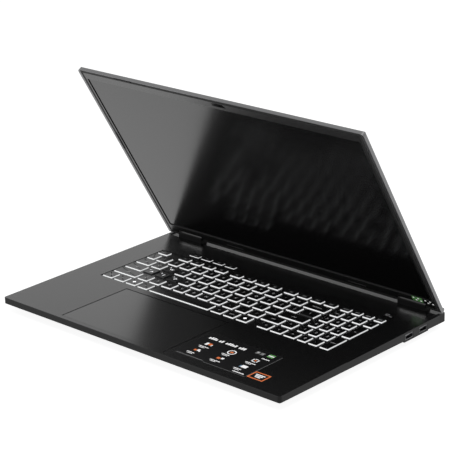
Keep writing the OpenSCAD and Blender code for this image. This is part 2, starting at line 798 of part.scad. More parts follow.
module wireless_card() {
  color([0.35, 0.36, 0.38]) {
    box(board_x - 50, board_x - 28, board_y0 + 8, board_y0 + 32, board_z - 2.6, board_z - 0.8);
    box(board_x - 50, board_x - 28, board_y0 + 32 - bit, board_y0 + 37, board_z - 3, board_z);
  }
}

module battery_pack() {
  color([0.06, 0.06, 0.07]) {
    cell_n = 4;
    cell_w = battery_w / cell_n;
    for (i = [0:cell_n - 1])
      box(-battery_w / 2 + i * cell_w + 0.5, -battery_w / 2 + (i + 1) * cell_w - 0.5,
          battery_y0, battery_y1 - battery_board_d, floor_z, floor_z + battery_t - 0.5);
    box(-battery_w / 2, battery_w / 2, battery_y1 - battery_board_d - bit, battery_y1,
        floor_z, floor_z + battery_t);
  }
}

module speakers() {
  color([0.05, 0.05, 0.05]) both_sides() difference() {
    box(speaker_x0, speaker_x1, speaker_y0, speaker_y1, floor_z, floor_z + speaker_t);
    post((speaker_x0 + speaker_x1) / 2, speaker_y0 + cone_r + 5,
        floor_z + speaker_t - 1, floor_z + speaker_t + over, cone_r);
  }
}

module side_board_left() {
  color([0.05, 0.25, 0.12])
    box(-side_board_x1, -side_board_x0, left_y0 + 1, left_y1 - 1, socket_z - side_board_t, socket_z);
}

module side_board_right() {
  color([0.05, 0.25, 0.12])
    box(side_board_x0, side_board_x1, usb_a_y[0] - 1, usb_a_y[1] + usb_a_w + 1,
        socket_z - side_board_t, socket_z);
}

// ---- Cooling ----

module fan_housing_left() {
  color([0.1, 0.1, 0.11]) union() {
    difference() {
      box(-fin_x1, -fin_x0, fan_y - fan_d / 2, fan_y + fan_d / 2, floor_z, floor_z + fan_t);
      post(-fan_x, fan_y, floor_z + fan_wall, floor_z + fan_t - fan_wall, fan_cavity_r);
      box(-fan_x - fan_cavity_r, -fan_x + fan_cavity_r, fan_y, fan_y + fan_d / 2 + over,
          floor_z + fan_wall, floor_z + fan_t - fan_wall);
      post(-fan_x, fan_y, floor_z + fan_wall, floor_z + fan_t + over, rotor_r - hub_room);
      difference() {
        post(-fan_x, fan_y, floor_z - over, floor_z + fan_wall + over, rotor_r - hub_room);
        post(-fan_x, fan_y, floor_z - 2 * over, floor_z + fan_wall + 2 * over, hub_r);
        for (a = [0, 60, 120]) translate([-fan_x, fan_y, floor_z]) rotate(a)
          box(-fan_cavity_r, fan_cavity_r, -1.5, 1.5, -2 * over, fan_wall + 2 * over);
      }
    }
    post(-fan_x, fan_y, floor_z + fan_wall - bit, floor_z + fan_t - 3, fan_shaft_r);
  }
}

module fan_housing_right() { mirror([1, 0, 0]) fan_housing_left(); }

module fan_rotor_left() {
  z0 = floor_z + fan_wall + 0.5;
  z1 = floor_z + fan_t - fan_wall - 0.5;
  color([0.16, 0.16, 0.18]) difference() {
    union() {
      post(-fan_x, fan_y, z0, z1, hub_r);
      for (i = [0:blade_n - 1]) translate([-fan_x, fan_y, 0]) rotate(i * 360 / blade_n)
        translate([hub_r - 1, 0, 0]) rotate(-18) box(0, rotor_r - hub_r, -0.4, 0.4, z0 + 0.3, z1 - 0.3);
    }
    post(-fan_x, fan_y, z0 - over, floor_z + fan_t - 3 + slide, fan_shaft_r + shaft_play);
  }
}

module fan_rotor_right() { mirror([1, 0, 0]) fan_rotor_left(); }

module fin_stacks() {
  color([0.6, 0.6, 0.62]) both_sides() {
    box(fin_x0, fin_x1, fin_y0, fin_y1, fin_z, fin_z + fin_t);
    box(fin_x0, fin_x1, fin_y0, fin_y1, fin_top - fin_t, fin_top);
    for (x = [fin_x0 : fin_pitch : fin_x1 - fin_t]) box(x, x + fin_t, fin_y0, fin_y1, fin_z, fin_top);
  }
}

// ---- Sockets ----

// A socket along X with its mouth at x1, hollowed and fitted with a tongue
module tongue_socket(x0, x1, y, w, z, h, skin, tongue_t) {
  difference() {
    box(x0, x1, y, y + w, z, z + h);
    box(x0 + 3, x1 + over, y + skin, y + w - skin, z + skin, z + h - skin);
  }
  tongue_z = z + (h - tongue_t) / 2;
  box(x0 + 3 - bit, x1 - 3, y + skin + 0.6, y + w - skin - 0.6, tongue_z, tongue_z + tongue_t);
}

module usb_a_sockets() {
  color([0.7, 0.7, 0.72]) for (y = usb_a_y)
    tongue_socket(half_w - socket_l, half_w - mouth, y, usb_a_w, socket_z, usb_a_h, 0.5, 1.6);
}

module usb_c_sockets() {
  color([0.7, 0.7, 0.72]) mirror([1, 0, 0]) for (y = usb_c_y)
    tongue_socket(half_w - socket_l, half_w - mouth, y, usb_c_w, socket_z, usb_c_h, 0.4, 0.7);
}

module video_socket() {
  color([0.7, 0.7, 0.72]) mirror([1, 0, 0])
    tongue_socket(half_w - socket_l, half_w - mouth, video_y, video_w, socket_z, video_h, 0.5, 1.2);
}

module audio_jack() {
  color([0.1, 0.1, 0.1]) difference() {
    box(-half_w + mouth, -half_w + socket_l, audio_y, audio_y + audio_w, socket_z, socket_z + audio_h);
    rod_x(-half_w - over, -half_w + socket_l - 1.5, audio_y + audio_w / 2, socket_z + audio_h / 2, audio_r);
  }
}

module power_inlet() {
  y = inlet_y + inlet_w / 2;
  z = socket_z + inlet_h / 2;
  color([0.12, 0.12, 0.12]) union() {
    difference() {
      box(-half_w + mouth, -half_w + socket_l, inlet_y, inlet_y + inlet_w, socket_z, socket_z + inlet_h);
      rod_x(-half_w - over, -half_w + socket_l - 2, y, z, inlet_r);
    }
    rod_x(-half_w + 3, -half_w + socket_l - 2 + bit, y, z, 0.6);
  }
}

// ---- Hinges ----

module hinge_mounts() {
  plate_z1 = gutter_z - shell_t;
  plate_z0 = plate_z1 - hinge_plate_t;
  color([0.45, 0.45, 0.47]) both_sides() difference() {
    union() {
      rod_x(barrel_x0, barrel_x1, axis_y, axis_z, barrel_r);
      box(barrel_x0, barrel_x1, axis_y - leg_t / 2, axis_y + leg_t / 2, plate_z0, axis_z);
      box(barrel_x0, barrel_x1, gutter_y - 6, half_d - shell_t - 1, plate_z0, plate_z1);
    }
    rod_x(barrel_x0 + 1, barrel_x1 + over, axis_y, axis_z, shaft_r + shaft_play);
    post(-side_screw_x, rear_screw_y, plate_z0 - over, plate_z1 + over, boss_r + slide);
  }
}

module block_profile() {
  corner = block_bevel;
  difference() {
    polygon([[block_y0, rear_deck_z], [gutter_y + 0.3, rear_deck_z], [gutter_y + 0.3, gutter_z],
        [block_y1, gutter_z], [block_y1, block_top], [block_y0, block_top]]);
    difference() {
      translate([block_y0 - bit, block_top - corner]) square([corner + bit, corner + bit]);
      translate([block_y0 + corner, block_top - corner]) circle(corner);
    }
  }
}

module hinge_covers() {
  color([0.14, 0.14, 0.15]) both_sides() difference() {
    along_x(block_x0, block_x1) block_profile();
    rod_x(barrel_x0 - fit, barrel_x1 + fit, axis_y, axis_z, barrel_r + fit);
    box(barrel_x0 - fit, barrel_x1 + fit, axis_y - leg_t / 2 - fit, axis_y + leg_t / 2 + fit,
        gutter_z - over, axis_z);
    rod_x(barrel_x1, block_x1 + over, axis_y, axis_z, shaft_r + slide);
  }
}

module hinge_arms() {
  foot_z1 = lid_back_z - lid_sheet_t - fit;
  foot_z0 = lid_z + bezel_t + panel_t + slide;
  color([0.5, 0.5, 0.52]) on_lid() both_sides() union() {
    rod_x(barrel_x0 + 1.5, arm_x1, axis_y, axis_z, shaft_r);
    box(arm_x0, arm_x1, axis_y - arm_block_s, axis_y + arm_half - 2 * fit,
        axis_z - arm_half, axis_z + arm_half);
    box(arm_x0, arm_x1, axis_y - arm_foot_s, axis_y - arm_block_s + bit, foot_z0, foot_z1);
  }
}

// ---- Lid ----

module lid_outline() {
  r = lid_corner_r;
  translate([-half_w, lid_front_y + r]) square([base_w, lid_l - r]);
  translate([-half_w + r, lid_front_y]) square([base_w - 2 * r, 2 * r]);
  for (x = [-1, 1]) translate([x * (half_w - r), lid_front_y + r]) circle(r);
}

// The closed lid's area, moved in at the sides and at the free edge and cut at the distance s from the axis
module lid_area(side_in, top_in, s, z0, z1) {
  y0 = lid_front_y + top_in;
  y1 = axis_y - s;
  translate([0, (y0 + y1) / 2, z0]) linear_extrude(z1 - z0) rounded(2 * (half_w - side_in), y1 - y0, 1.5);
}

module lid_cover() {
  c = lid_bevel;
  color([0.2, 0.2, 0.21]) on_lid() difference() {
    union() {
      intersection() {
        translate([0, 0, lid_z]) linear_extrude(lid_t) lid_outline();
        along_x(-half_w, half_w) polygon([[lid_front_y, lid_z], [lid_front_y, lid_back_z - c],
            [lid_front_y + c, lid_back_z], [axis_y, lid_back_z], [axis_y, lid_z]]);
        along_y(lid_front_y, axis_y) polygon([[-half_w, lid_z], [-half_w, lid_back_z - c],
            [-half_w + c, lid_back_z], [half_w - c, lid_back_z], [half_w, lid_back_z - c], [half_w, lid_z]]);
      }
      rod_x(-half_w, half_w, axis_y, axis_z, lid_r);
    }
    lid_area(rim_w + ledge, top_rim + ledge, pocket_s, lid_z - over, lid_back_z - lid_sheet_t);
    lid_area(rim_w, top_rim, lid_r, lid_z - over, lid_z + bezel_t);
    both_sides() {
      box(block_x0 - block_gap, block_x1 + block_gap, axis_y - notch_s, axis_y + lid_r + over,
          lid_z - over, lid_back_z + over);
      box(arm_x0 - fit, arm_x1 + fit, axis_y - pocket_s - over, axis_y + arm_half - fit,
          axis_z - arm_half - fit, axis_z + arm_half + fit);
      rod_x(block_x1, arm_x1, axis_y, axis_z, shaft_r + slide);
    }
  }
}

// Rubber gasket along the two sides and the free edge, in the same recess as the bezel
module lid_gasket() {
  color([0.03, 0.03, 0.03]) on_lid() difference() {
    lid_area(rim_w + fit, top_rim + fit, lid_r + slide, lid_z, lid_z + bezel_t);
    lid_area(bezel_side - fit, bezel_top - fit, -lid_t, lid_z - over, lid_z + bezel_t + over);
  }
}

module lid_bezel() {
  color([0.04, 0.04, 0.045]) on_lid() difference() {
    lid_area(bezel_side, bezel_top, lid_r + slide, lid_z, lid_z + bezel_t);
    box(-screen_w / 2, screen_w / 2, screen_y0, screen_y1, lid_z - over, lid_z + bezel_t + over);
    both_sides() box(block_x0 - block_gap, block_x1 + block_gap, axis_y - notch_s, axis_y,
        lid_z - over, lid_z + bezel_t + over);
    camera_outline(fit, lid_z - over, lid_z + bezel_t + over);
  }
}

module display_panel() {
  b = panel_border;
  color([0.02, 0.02, 0.025]) on_lid() box(-screen_w / 2 - b, screen_w / 2 + b, screen_y0 - b, screen_y1 + b,
      lid_z + bezel_t, lid_z + bezel_t + panel_t);
}

module panel_board() {
  color([0.05, 0.2, 0.12]) on_lid() box(-panel_board_w / 2, panel_board_w / 2, screen_y1 + panel_border,
      axis_y - pocket_s - fit, lid_z + bezel_t, lid_z + bezel_t + 1.2);
}

module bezel_bumpers() {
  side_x = half_w - rim_w - fit - gasket_w / 2;
  top_y = lid_front_y + top_rim + fit + gasket_w / 2;
  side_y = axis_y - side_bumper_s;
  chin_y = axis_y - notch_s;
  color([0.06, 0.06, 0.06]) on_lid() both_sides() {
    box(side_x - bumper_w / 2, side_x + bumper_w / 2,
        side_y - bumper_l / 2, side_y + bumper_l / 2, lid_z - bumper_h, lid_z);
    box(top_bumper_x - bumper_l / 2, top_bumper_x + bumper_l / 2,
        top_y - bumper_w / 2, top_y + bumper_w / 2, lid_z - bumper_h, lid_z);
    box(chin_bumper_x - bumper_l / 2, chin_bumper_x + bumper_l / 2,
        chin_y - bumper_w / 2, chin_y + bumper_w / 2, lid_z - bumper_h, lid_z);
  }
}

// The camera window has a slanted right end. It is grown by g on every side where it is a hole.
module camera_outline(g, z0, z1) {
  x0 = camera_x0;
  x1 = camera_x0 + camera_w;
  y0 = camera_y0;
  y1 = camera_y0 + camera_d;
  translate([0, 0, z0]) linear_extrude(z1 - z0)
    polygon([[x0 - g, y0 - g], [x1 - camera_slant + g, y0 - g], [x1 + 2 * g, y1 + g], [x0 - g, y1 + g]]);
}

module camera_window() {
  color([0.01, 0.01, 0.012]) on_lid() camera_outline(0, lid_z + 0.1, lid_z + bezel_t);
}

module camera_module() {
  y1 = screen_y0 - panel_border - fit;
  lens_x = camera_x0 + 2;
  color([0.08, 0.1, 0.1]) on_lid() union() {
    box(camera_x0 - 20, camera_x0 + camera_w + 20, pocket_y0, y1, lid_z + bezel_t, lid_z + bezel_t + 1);
    post(lens_x, (pocket_y0 + y1) / 2, lid_z + bezel_t + 1 - bit, lid_z + bezel_t + 3, 1.6);
  }
}

module lid_antennas() {
  y1 = screen_y0 - panel_border - fit;
  color([0.72, 0.6, 0.3]) on_lid() both_sides()
    box(antenna_x1 - antenna_w, antenna_x1, pocket_y0, y1, lid_z + bezel_t, lid_z + bezel_t + 0.6);
}

bottom_cover();
top_case();
rubber_feet();
case_screws();
keyboard_plate();
mainboard();
processor_chips();
heat_spreaders();
heat_pipes();
memory_modules();
storage_drive();
wireless_card();
fan_housing_left();
fan_housing_right();
fan_rotor_left();
fan_rotor_right();
fin_stacks();
battery_pack();
speakers();
side_board_left();
side_board_right();
usb_a_sockets();
usb_c_sockets();
video_socket();
audio_jack();
power_inlet();
touchpad();
touchpad_bracket();
power_button();
hinge_mounts();
hinge_covers();
hinge_arms();
lid_cover();
lid_bezel();
display_panel();
lid_gasket();
panel_board();
bezel_bumpers();
camera_module();
camera_window();
lid_antennas();
keys_function();
keys_media();
keys_navigation();
keys_number();
key_backspace();
keys_upper();
keys_home();
key_enter();
keys_steer();
keys_lower();
keys_bottom();
key_space();
keys_arrow();
keys_numpad();
key_plus();
key_numpad_enter();
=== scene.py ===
"""Looks of a large notebook computer: finishes, key caps, legends, labels, light and camera."""
import bmesh
import bpy
import json
import math
from mathutils import Matrix, Vector


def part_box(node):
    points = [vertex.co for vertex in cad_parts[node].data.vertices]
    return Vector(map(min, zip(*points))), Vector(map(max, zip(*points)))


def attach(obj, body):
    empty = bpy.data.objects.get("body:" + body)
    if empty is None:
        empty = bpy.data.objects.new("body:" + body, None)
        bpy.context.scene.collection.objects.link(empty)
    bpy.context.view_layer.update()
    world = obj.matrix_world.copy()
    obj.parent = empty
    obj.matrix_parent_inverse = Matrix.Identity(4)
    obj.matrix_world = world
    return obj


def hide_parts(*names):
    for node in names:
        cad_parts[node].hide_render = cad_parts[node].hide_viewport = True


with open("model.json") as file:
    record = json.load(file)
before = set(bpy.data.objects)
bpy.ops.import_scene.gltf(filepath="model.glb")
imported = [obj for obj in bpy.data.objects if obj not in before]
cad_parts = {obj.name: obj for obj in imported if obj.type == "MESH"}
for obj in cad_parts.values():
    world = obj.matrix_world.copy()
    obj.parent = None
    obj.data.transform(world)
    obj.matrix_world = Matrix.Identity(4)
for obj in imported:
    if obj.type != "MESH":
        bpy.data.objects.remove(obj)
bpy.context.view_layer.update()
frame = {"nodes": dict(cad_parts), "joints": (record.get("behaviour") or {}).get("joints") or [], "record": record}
nodes = frame["nodes"]
scene = bpy.context.scene
MM = 0.001

# ---- Places taken from the frame ----

deck_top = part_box("top_case")[1].z
left_edge, front_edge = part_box("top_case")[0].x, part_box("top_case")[0].y
lid_joint = next(joint for joint in frame["joints"] if joint["name"] == "lid_hinge")
hinge_point = Vector(lid_joint["pos_m"])
lid_angle = -math.radians(lid_joint["range_deg"][0])
# Half of the lid's thickness.
LID_HALF = 2.8 * MM
# Places on the open lid: x across, y away from the hinge axis, z from the lid's middle to the viewer.
lid_face = (Matrix.Translation(hinge_point) @ Matrix.Rotation(-lid_angle, 4, "X")
            @ Matrix.Rotation(math.pi, 4, "X"))

# ---- Shader node groups ----

def new_group(name, inputs, output):
    """A node group with number inputs, each with its usual value, and one number output."""
    group = bpy.data.node_groups.new(name, "ShaderNodeTree")
    for label, value in inputs:
        socket = group.interface.new_socket(label, in_out="INPUT", socket_type="NodeSocketFloat")
        socket.default_value = value
    group.interface.new_socket(output, in_out="OUTPUT", socket_type="NodeSocketFloat")
    return group, group.nodes.new("NodeGroupInput"), group.nodes.new("NodeGroupOutput")


def math_node(tree, operation, first, second, clamp=False):
    """One operation on two values, each a number or another node's output."""
    node = tree.nodes.new("ShaderNodeMath")
    node.operation = operation
    node.use_clamp = clamp
    for slot, value in enumerate((first, second)):
        if isinstance(value, (int, float)):
            node.inputs[slot].default_value = value
        else:
            tree.links.new(value, node.inputs[slot])
    return node.outputs[0]


def coordinate(tree, vector, axis):
    """One coordinate, X, Y or Z, of a vector output."""
    parts = tree.nodes.new("ShaderNodeSeparateXYZ")
    tree.links.new(vector, parts.inputs["Vector"])
    return parts.outputs[axis]


def facing(tree, axis):
    """How far the surface faces along an axis, from -1 to 1."""
    return coordinate(tree, tree.nodes.new("ShaderNodeNewGeometry").outputs["Normal"], axis)


def object_place(tree):
    """The shaded point in the object's own coordinates."""
    return tree.nodes.new("ShaderNodeTexCoord").outputs["Object"]


def ramp(tree, value, start, end, at_start, at_end):
    """A straight change between two values, held beyond its ends."""
    node = tree.nodes.new("ShaderNodeMapRange")
    for label, number in (("From Min", start), ("From Max", end),
                          ("To Min", at_start), ("To Max", at_end)):
        node.inputs[label].default_value = number
    tree.links.new(value, node.inputs["Value"])
    return node.outputs["Result"]


def color_mix(tree, base, other, mask):
    """The base colour, which turns to the other colour where the mask is 1."""
    mix = tree.nodes.new("ShaderNodeMix")
    mix.data_type = "RGBA"
    mix.inputs["A"].default_value = (*base, 1.0)
    mix.inputs["B"].default_value = (*other, 1.0)
    tree.links.new(mask, mix.inputs["Factor"])
    return mix.outputs["Result"]


def noise(tree, scale, detail=2.0, roughness=0.5, stretch=None):
    """Cloudy noise on object coordinates; its scale is a number or an output."""
    place = object_place(tree)
    if stretch:
        mapping = tree.nodes.new("ShaderNodeMapping")
        mapping.inputs["Scale"].default_value = stretch
        tree.links.new(place, mapping.inputs["Vector"])
        place = mapping.outputs["Vector"]
    node = tree.nodes.new("ShaderNodeTexNoise")
    tree.links.new(place, node.inputs["Vector"])
    if isinstance(scale, (int, float)):
        node.inputs["Scale"].default_value = scale
    else:
        tree.links.new(scale, node.inputs["Scale"])
    node.inputs["Detail"].default_value = detail
    node.inputs["Roughness"].default_value = roughness
    return node.outputs["Fac"]


COARSE_SCALE = 0.18


def grain_group():
    """Fine pits of a blasted or moulded surface, over coarser ones. Grain Size is in metres."""
    group, given, out = new_group("surface_grain", [("Grain Size", 0.0003), ("Coarse Share", 0.3)],
                                  "Height")
    scale = math_node(group, "DIVIDE", 1.0, given.outputs["Grain Size"])
    fine = noise(group, scale, 3.0, 0.65)
    coarse = noise(group, math_node(group, "MULTIPLY", scale, COARSE_SCALE))
    mix = group.nodes.new("ShaderNodeMix")
    group.links.new(given.outputs["Coarse Share"], mix.inputs["Factor"])
    group.links.new(fine, mix.inputs["A"])
    group.links.new(coarse, mix.inputs["B"])
    group.links.new(mix.outputs["Result"], out.inputs["Height"])
    return group


NOISE_MIDDLE = 0.5
STREAK_SCALE = 60.0
STREAK_STRETCH = (1.0, 0.15, 1.0)
STREAK_SHARE = 0.5


def handling_group():
    """Faint uneven gloss that hands and cloths leave on a smooth surface."""
    group, given, out = new_group("handling_marks", [("Amount", 0.1), ("Mark Size", 0.05)], "Change")
    scale = math_node(group, "DIVIDE", 1.0, given.outputs["Mark Size"])
    cloud = math_node(group, "SUBTRACT", noise(group, scale, 5.0, 0.6), NOISE_MIDDLE)
    streaks = noise(group, STREAK_SCALE, 3.0, 0.6, stretch=STREAK_STRETCH)
    streak = math_node(group, "SUBTRACT", streaks, NOISE_MIDDLE)
    both = math_node(group, "ADD", cloud, math_node(group, "MULTIPLY", streak, STREAK_SHARE))
    group.links.new(math_node(group, "MULTIPLY", both, given.outputs["Amount"]), out.inputs["Change"])
    return group


EDGE_SHARPNESS = 4.0


def edge_group():
    """1 along sharp edges, 0 on the faces between them. Width is in metres."""
    group, given, out = new_group("edge_polish", [("Width", 0.0004)], "Edge")
    bevel = group.nodes.new("ShaderNodeBevel")
    bevel.samples = 4
    group.links.new(given.outputs["Width"], bevel.inputs["Radius"])
    face = group.nodes.new("ShaderNodeNewGeometry")
    dot = group.nodes.new("ShaderNodeVectorMath")
    dot.operation = "DOT_PRODUCT"
    group.links.new(bevel.outputs["Normal"], dot.inputs[0])
    group.links.new(face.outputs["Normal"], dot.inputs[1])
    bend = math_node(group, "SUBTRACT", 1.0, dot.outputs["Value"])
    group.links.new(math_node(group, "MULTIPLY", bend, EDGE_SHARPNESS, clamp=True), out.inputs["Edge"])
    return group


LINT_CELL_SCALE = 170.0
LINT_RADIUS = 0.035
LINT_PATCH_SCALE = 55.0
LINT_PATCH_LIMIT = 0.6
LOOKS_UP = 0.8


def dust_group():
    """Sparse specks of lint that lie on faces that look up."""
    group, given, out = new_group("lint_specks", [("Amount", 0.3)], "Specks")
    cells = group.nodes.new("ShaderNodeTexVoronoi")
    cells.inputs["Scale"].default_value = LINT_CELL_SCALE
    group.links.new(object_place(group), cells.inputs["Vector"])
    small = math_node(group, "LESS_THAN", cells.outputs["Distance"], LINT_RADIUS)
    keep = math_node(group, "GREATER_THAN", noise(group, LINT_PATCH_SCALE), LINT_PATCH_LIMIT)
    up = math_node(group, "GREATER_THAN", facing(group, "Z"), LOOKS_UP)
    specks = math_node(group, "MULTIPLY", math_node(group, "MULTIPLY", small, keep), up)
    group.links.new(math_node(group, "MULTIPLY", specks, given.outputs["Amount"]), out.inputs["Specks"])
    return group


GRAIN = grain_group()
HANDLING = handling_group()
EDGE = edge_group()
DUST = dust_group()


def place_group(tree, group, output, **values):
    """Sets a node group into a material with its own values, and gives its output."""
    node = tree.nodes.new("ShaderNodeGroup")
    node.node_tree = group
    for label, value in values.items():
        node.inputs[label.replace("_", " ")].default_value = value
    return node.outputs[output]


# ---- Materials ----

def blank_material(name):
    """A new material with its node tree and its shader."""
    material = bpy.data.materials.new(name)
    material.use_nodes = True
    return material, material.node_tree, material.node_tree.nodes["Principled BSDF"]


def add_grain(tree, shader, grain, depth):
    """Pits of a grain size and a depth, both in metres."""
    bump = tree.nodes.new("ShaderNodeBump")
    bump.inputs["Strength"].default_value = 1.0
    bump.inputs["Distance"].default_value = depth
    tree.links.new(place_group(tree, GRAIN, "Height", Grain_Size=grain), bump.inputs["Height"])
    tree.links.new(bump.outputs["Normal"], shader.inputs["Normal"])


# A face counts as upright up to the first facing and as level from the second.
UPRIGHT_FACING, LEVEL_FACING = 0.3, 0.9
# Share of the coat that is left in the gutter.
GUTTER_COAT = 0.4
# The worn colour of an edge where none is given, and how much of it shows.
WEAR_GAIN, WEAR_LIFT = 1.6, 0.01
WEAR_SHARE = 0.7
# How much less rough an edge is.
RIM_GLOSS = 0.08


def coat_mask(tree, level_coat, wall_coat, gutter_from):
    """Gloss coat of the base: full on level faces, less on walls, and less again in the gutter."""
    coat = ramp(tree, facing(tree, "Z"), UPRIGHT_FACING, LEVEL_FACING, wall_coat, level_coat)
    ahead = math_node(tree, "LESS_THAN", coordinate(tree, object_place(tree), "Y"), gutter_from)
    kept = math_node(tree, "ADD", math_node(tree, "MULTIPLY", ahead, 1 - GUTTER_COAT), GUTTER_COAT)
    return math_node(tree, "MULTIPLY", coat, kept)


def finish(name, color, roughness, metallic=0.0, ior=1.5, grain=0.0003, depth=0.00001, marks=0.1,
           worn=None, lint=0.0, specular=0.5, edge=0.0004, coat=0.0, wall_coat=None,
           gutter_from=None):
    """A shell finish: fine grain, uneven gloss, edges of the worn colour and a little lint."""
    material, tree, shader = blank_material(name)
    shader.inputs["Metallic"].default_value = metallic
    shader.inputs["IOR"].default_value = ior
    shader.inputs["Specular IOR Level"].default_value = specular
    change = place_group(tree, HANDLING, "Change", Amount=marks)
    rim = place_group(tree, EDGE, "Edge", Width=edge)
    worn = worn or tuple(min(1.0, value * WEAR_GAIN + WEAR_LIFT) for value in color)
    mask = math_node(tree, "MULTIPLY", rim, WEAR_SHARE)
    if lint:
        mask = math_node(tree, "ADD", mask, place_group(tree, DUST, "Specks", Amount=lint), clamp=True)
    tree.links.new(color_mix(tree, color, worn, mask), shader.inputs["Base Color"])
    rough = math_node(tree, "ADD", change, roughness)
    rough = math_node(tree, "SUBTRACT", rough, math_node(tree, "MULTIPLY", rim, RIM_GLOSS), clamp=True)
    tree.links.new(rough, shader.inputs["Roughness"])
    shader.inputs["Coat Weight"].default_value = coat
    shader.inputs["Coat Roughness"].default_value = roughness
    if wall_coat is not None:
        tree.links.new(coat_mask(tree, coat, wall_coat, gutter_from), shader.inputs["Coat Weight"])
    add_grain(tree, shader, grain, depth)
    return material


PIXEL = 0.24 * MM
PIXEL_GAP = 0.03 * MM
CELL_BLACK = (0.0015, 0.0015, 0.0018, 1.0)
CELL_GREY = (0.0018, 0.0018, 0.0021, 1.0)
GAP_BLACK = (0.0015, 0.0015, 0.0015, 1.0)
SCREEN_ROUGHNESS = 0.17


def screen_finish():
    """Switched-off display: black cells under an anti-glare film."""
    material, tree, shader = blank_material("screen_film")
    shader.inputs["IOR"].default_value = 1.65
    cells = tree.nodes.new("ShaderNodeTexBrick")
    cells.offset = 0.0
    for label, value in (("Color1", CELL_BLACK), ("Color2", CELL_GREY), ("Mortar", GAP_BLACK),
                         ("Scale", 1.0), ("Brick Width", PIXEL), ("Row Height", PIXEL),
                         ("Mortar Size", PIXEL_GAP)):
        cells.inputs[label].default_value = value
    mapping = tree.nodes.new("ShaderNodeMapping")
    mapping.inputs["Rotation"].default_value = (lid_angle, 0.0, 0.0)
    tree.links.new(object_place(tree), mapping.inputs["Vector"])
    tree.links.new(mapping.outputs["Vector"], cells.inputs["Vector"])
    tree.links.new(cells.outputs["Color"], shader.inputs["Base Color"])
    change = place_group(tree, HANDLING, "Change", Amount=0.05, Mark_Size=0.09)
    tree.links.new(math_node(tree, "ADD", change, SCREEN_ROUGHNESS), shader.inputs["Roughness"])
    add_grain(tree, shader, 0.00015, 0.000001)
    return material


def clouded(tree, cloud, amount, least):
    """A roughness that rises with a cloud from its least value."""
    return math_node(tree, "ADD", math_node(tree, "MULTIPLY", cloud, amount), least)


SKIRT_CLOUD_SCALE = 900.0
SKIRT_SHADE = 0.86
# Share of the painted glow left on a skirt's rear face, as painted shade, and the glow colour's share at the fully
# shaded end.
REAR_PAINTED_GLOW = 0.45
PAINTED_SHADE_SHARE = 0.05


def skirt_with_painted_glow(name, color, glow):
    """Translucent plastic under a key's painted top, with a painted glow of its own colour, no lamp, strongest on
    its front face and weaker on its rear faces as painted shade.
    """
    material, tree, shader = blank_material(name)
    cloud = noise(tree, SKIRT_CLOUD_SCALE)
    shade = tuple(value * SKIRT_SHADE for value in color)
    tree.links.new(color_mix(tree, color, shade, cloud), shader.inputs["Base Color"])
    # Painted light and shade: the glow is full on the front face and falls off towards the rear faces.
    front = ramp(tree, facing(tree, "Y"), -1.0, 1.0, 1.0, REAR_PAINTED_GLOW)
    painted_shade_glow = tuple(value * PAINTED_SHADE_SHARE for value in color)
    tree.links.new(color_mix(tree, painted_shade_glow, color, front), shader.inputs["Emission Color"])
    shader.inputs["Emission Strength"].default_value = glow
    tree.links.new(clouded(tree, cloud, 0.15, 0.35), shader.inputs["Roughness"])
    add_grain(tree, shader, 0.0002, 0.000004)
    return material


INK_CLOUD_SCALE = 2500.0
INK_SHADE = 0.75


def ink_with_painted_glow(name, color, glow=0.0):
    """Printed or lasered marks: slightly uneven ink, which glows with painted light of its own colour by the glow
    given.
    """
    material, tree, shader = blank_material(name)
    cloud = noise(tree, INK_CLOUD_SCALE)
    shade = tuple(value * INK_SHADE for value in color)
    tree.links.new(color_mix(tree, color, shade, cloud), shader.inputs["Base Color"])
    # Painted light: the ink glows with its own colour, though it is no lamp.
    shader.inputs["Emission Color"].default_value = (*color, 1.0)
    shader.inputs["Emission Strength"].default_value = glow
    tree.links.new(clouded(tree, cloud, 0.2, 0.4), shader.inputs["Roughness"])
    return material


# ---- Finishes of the slots and of the prints ----

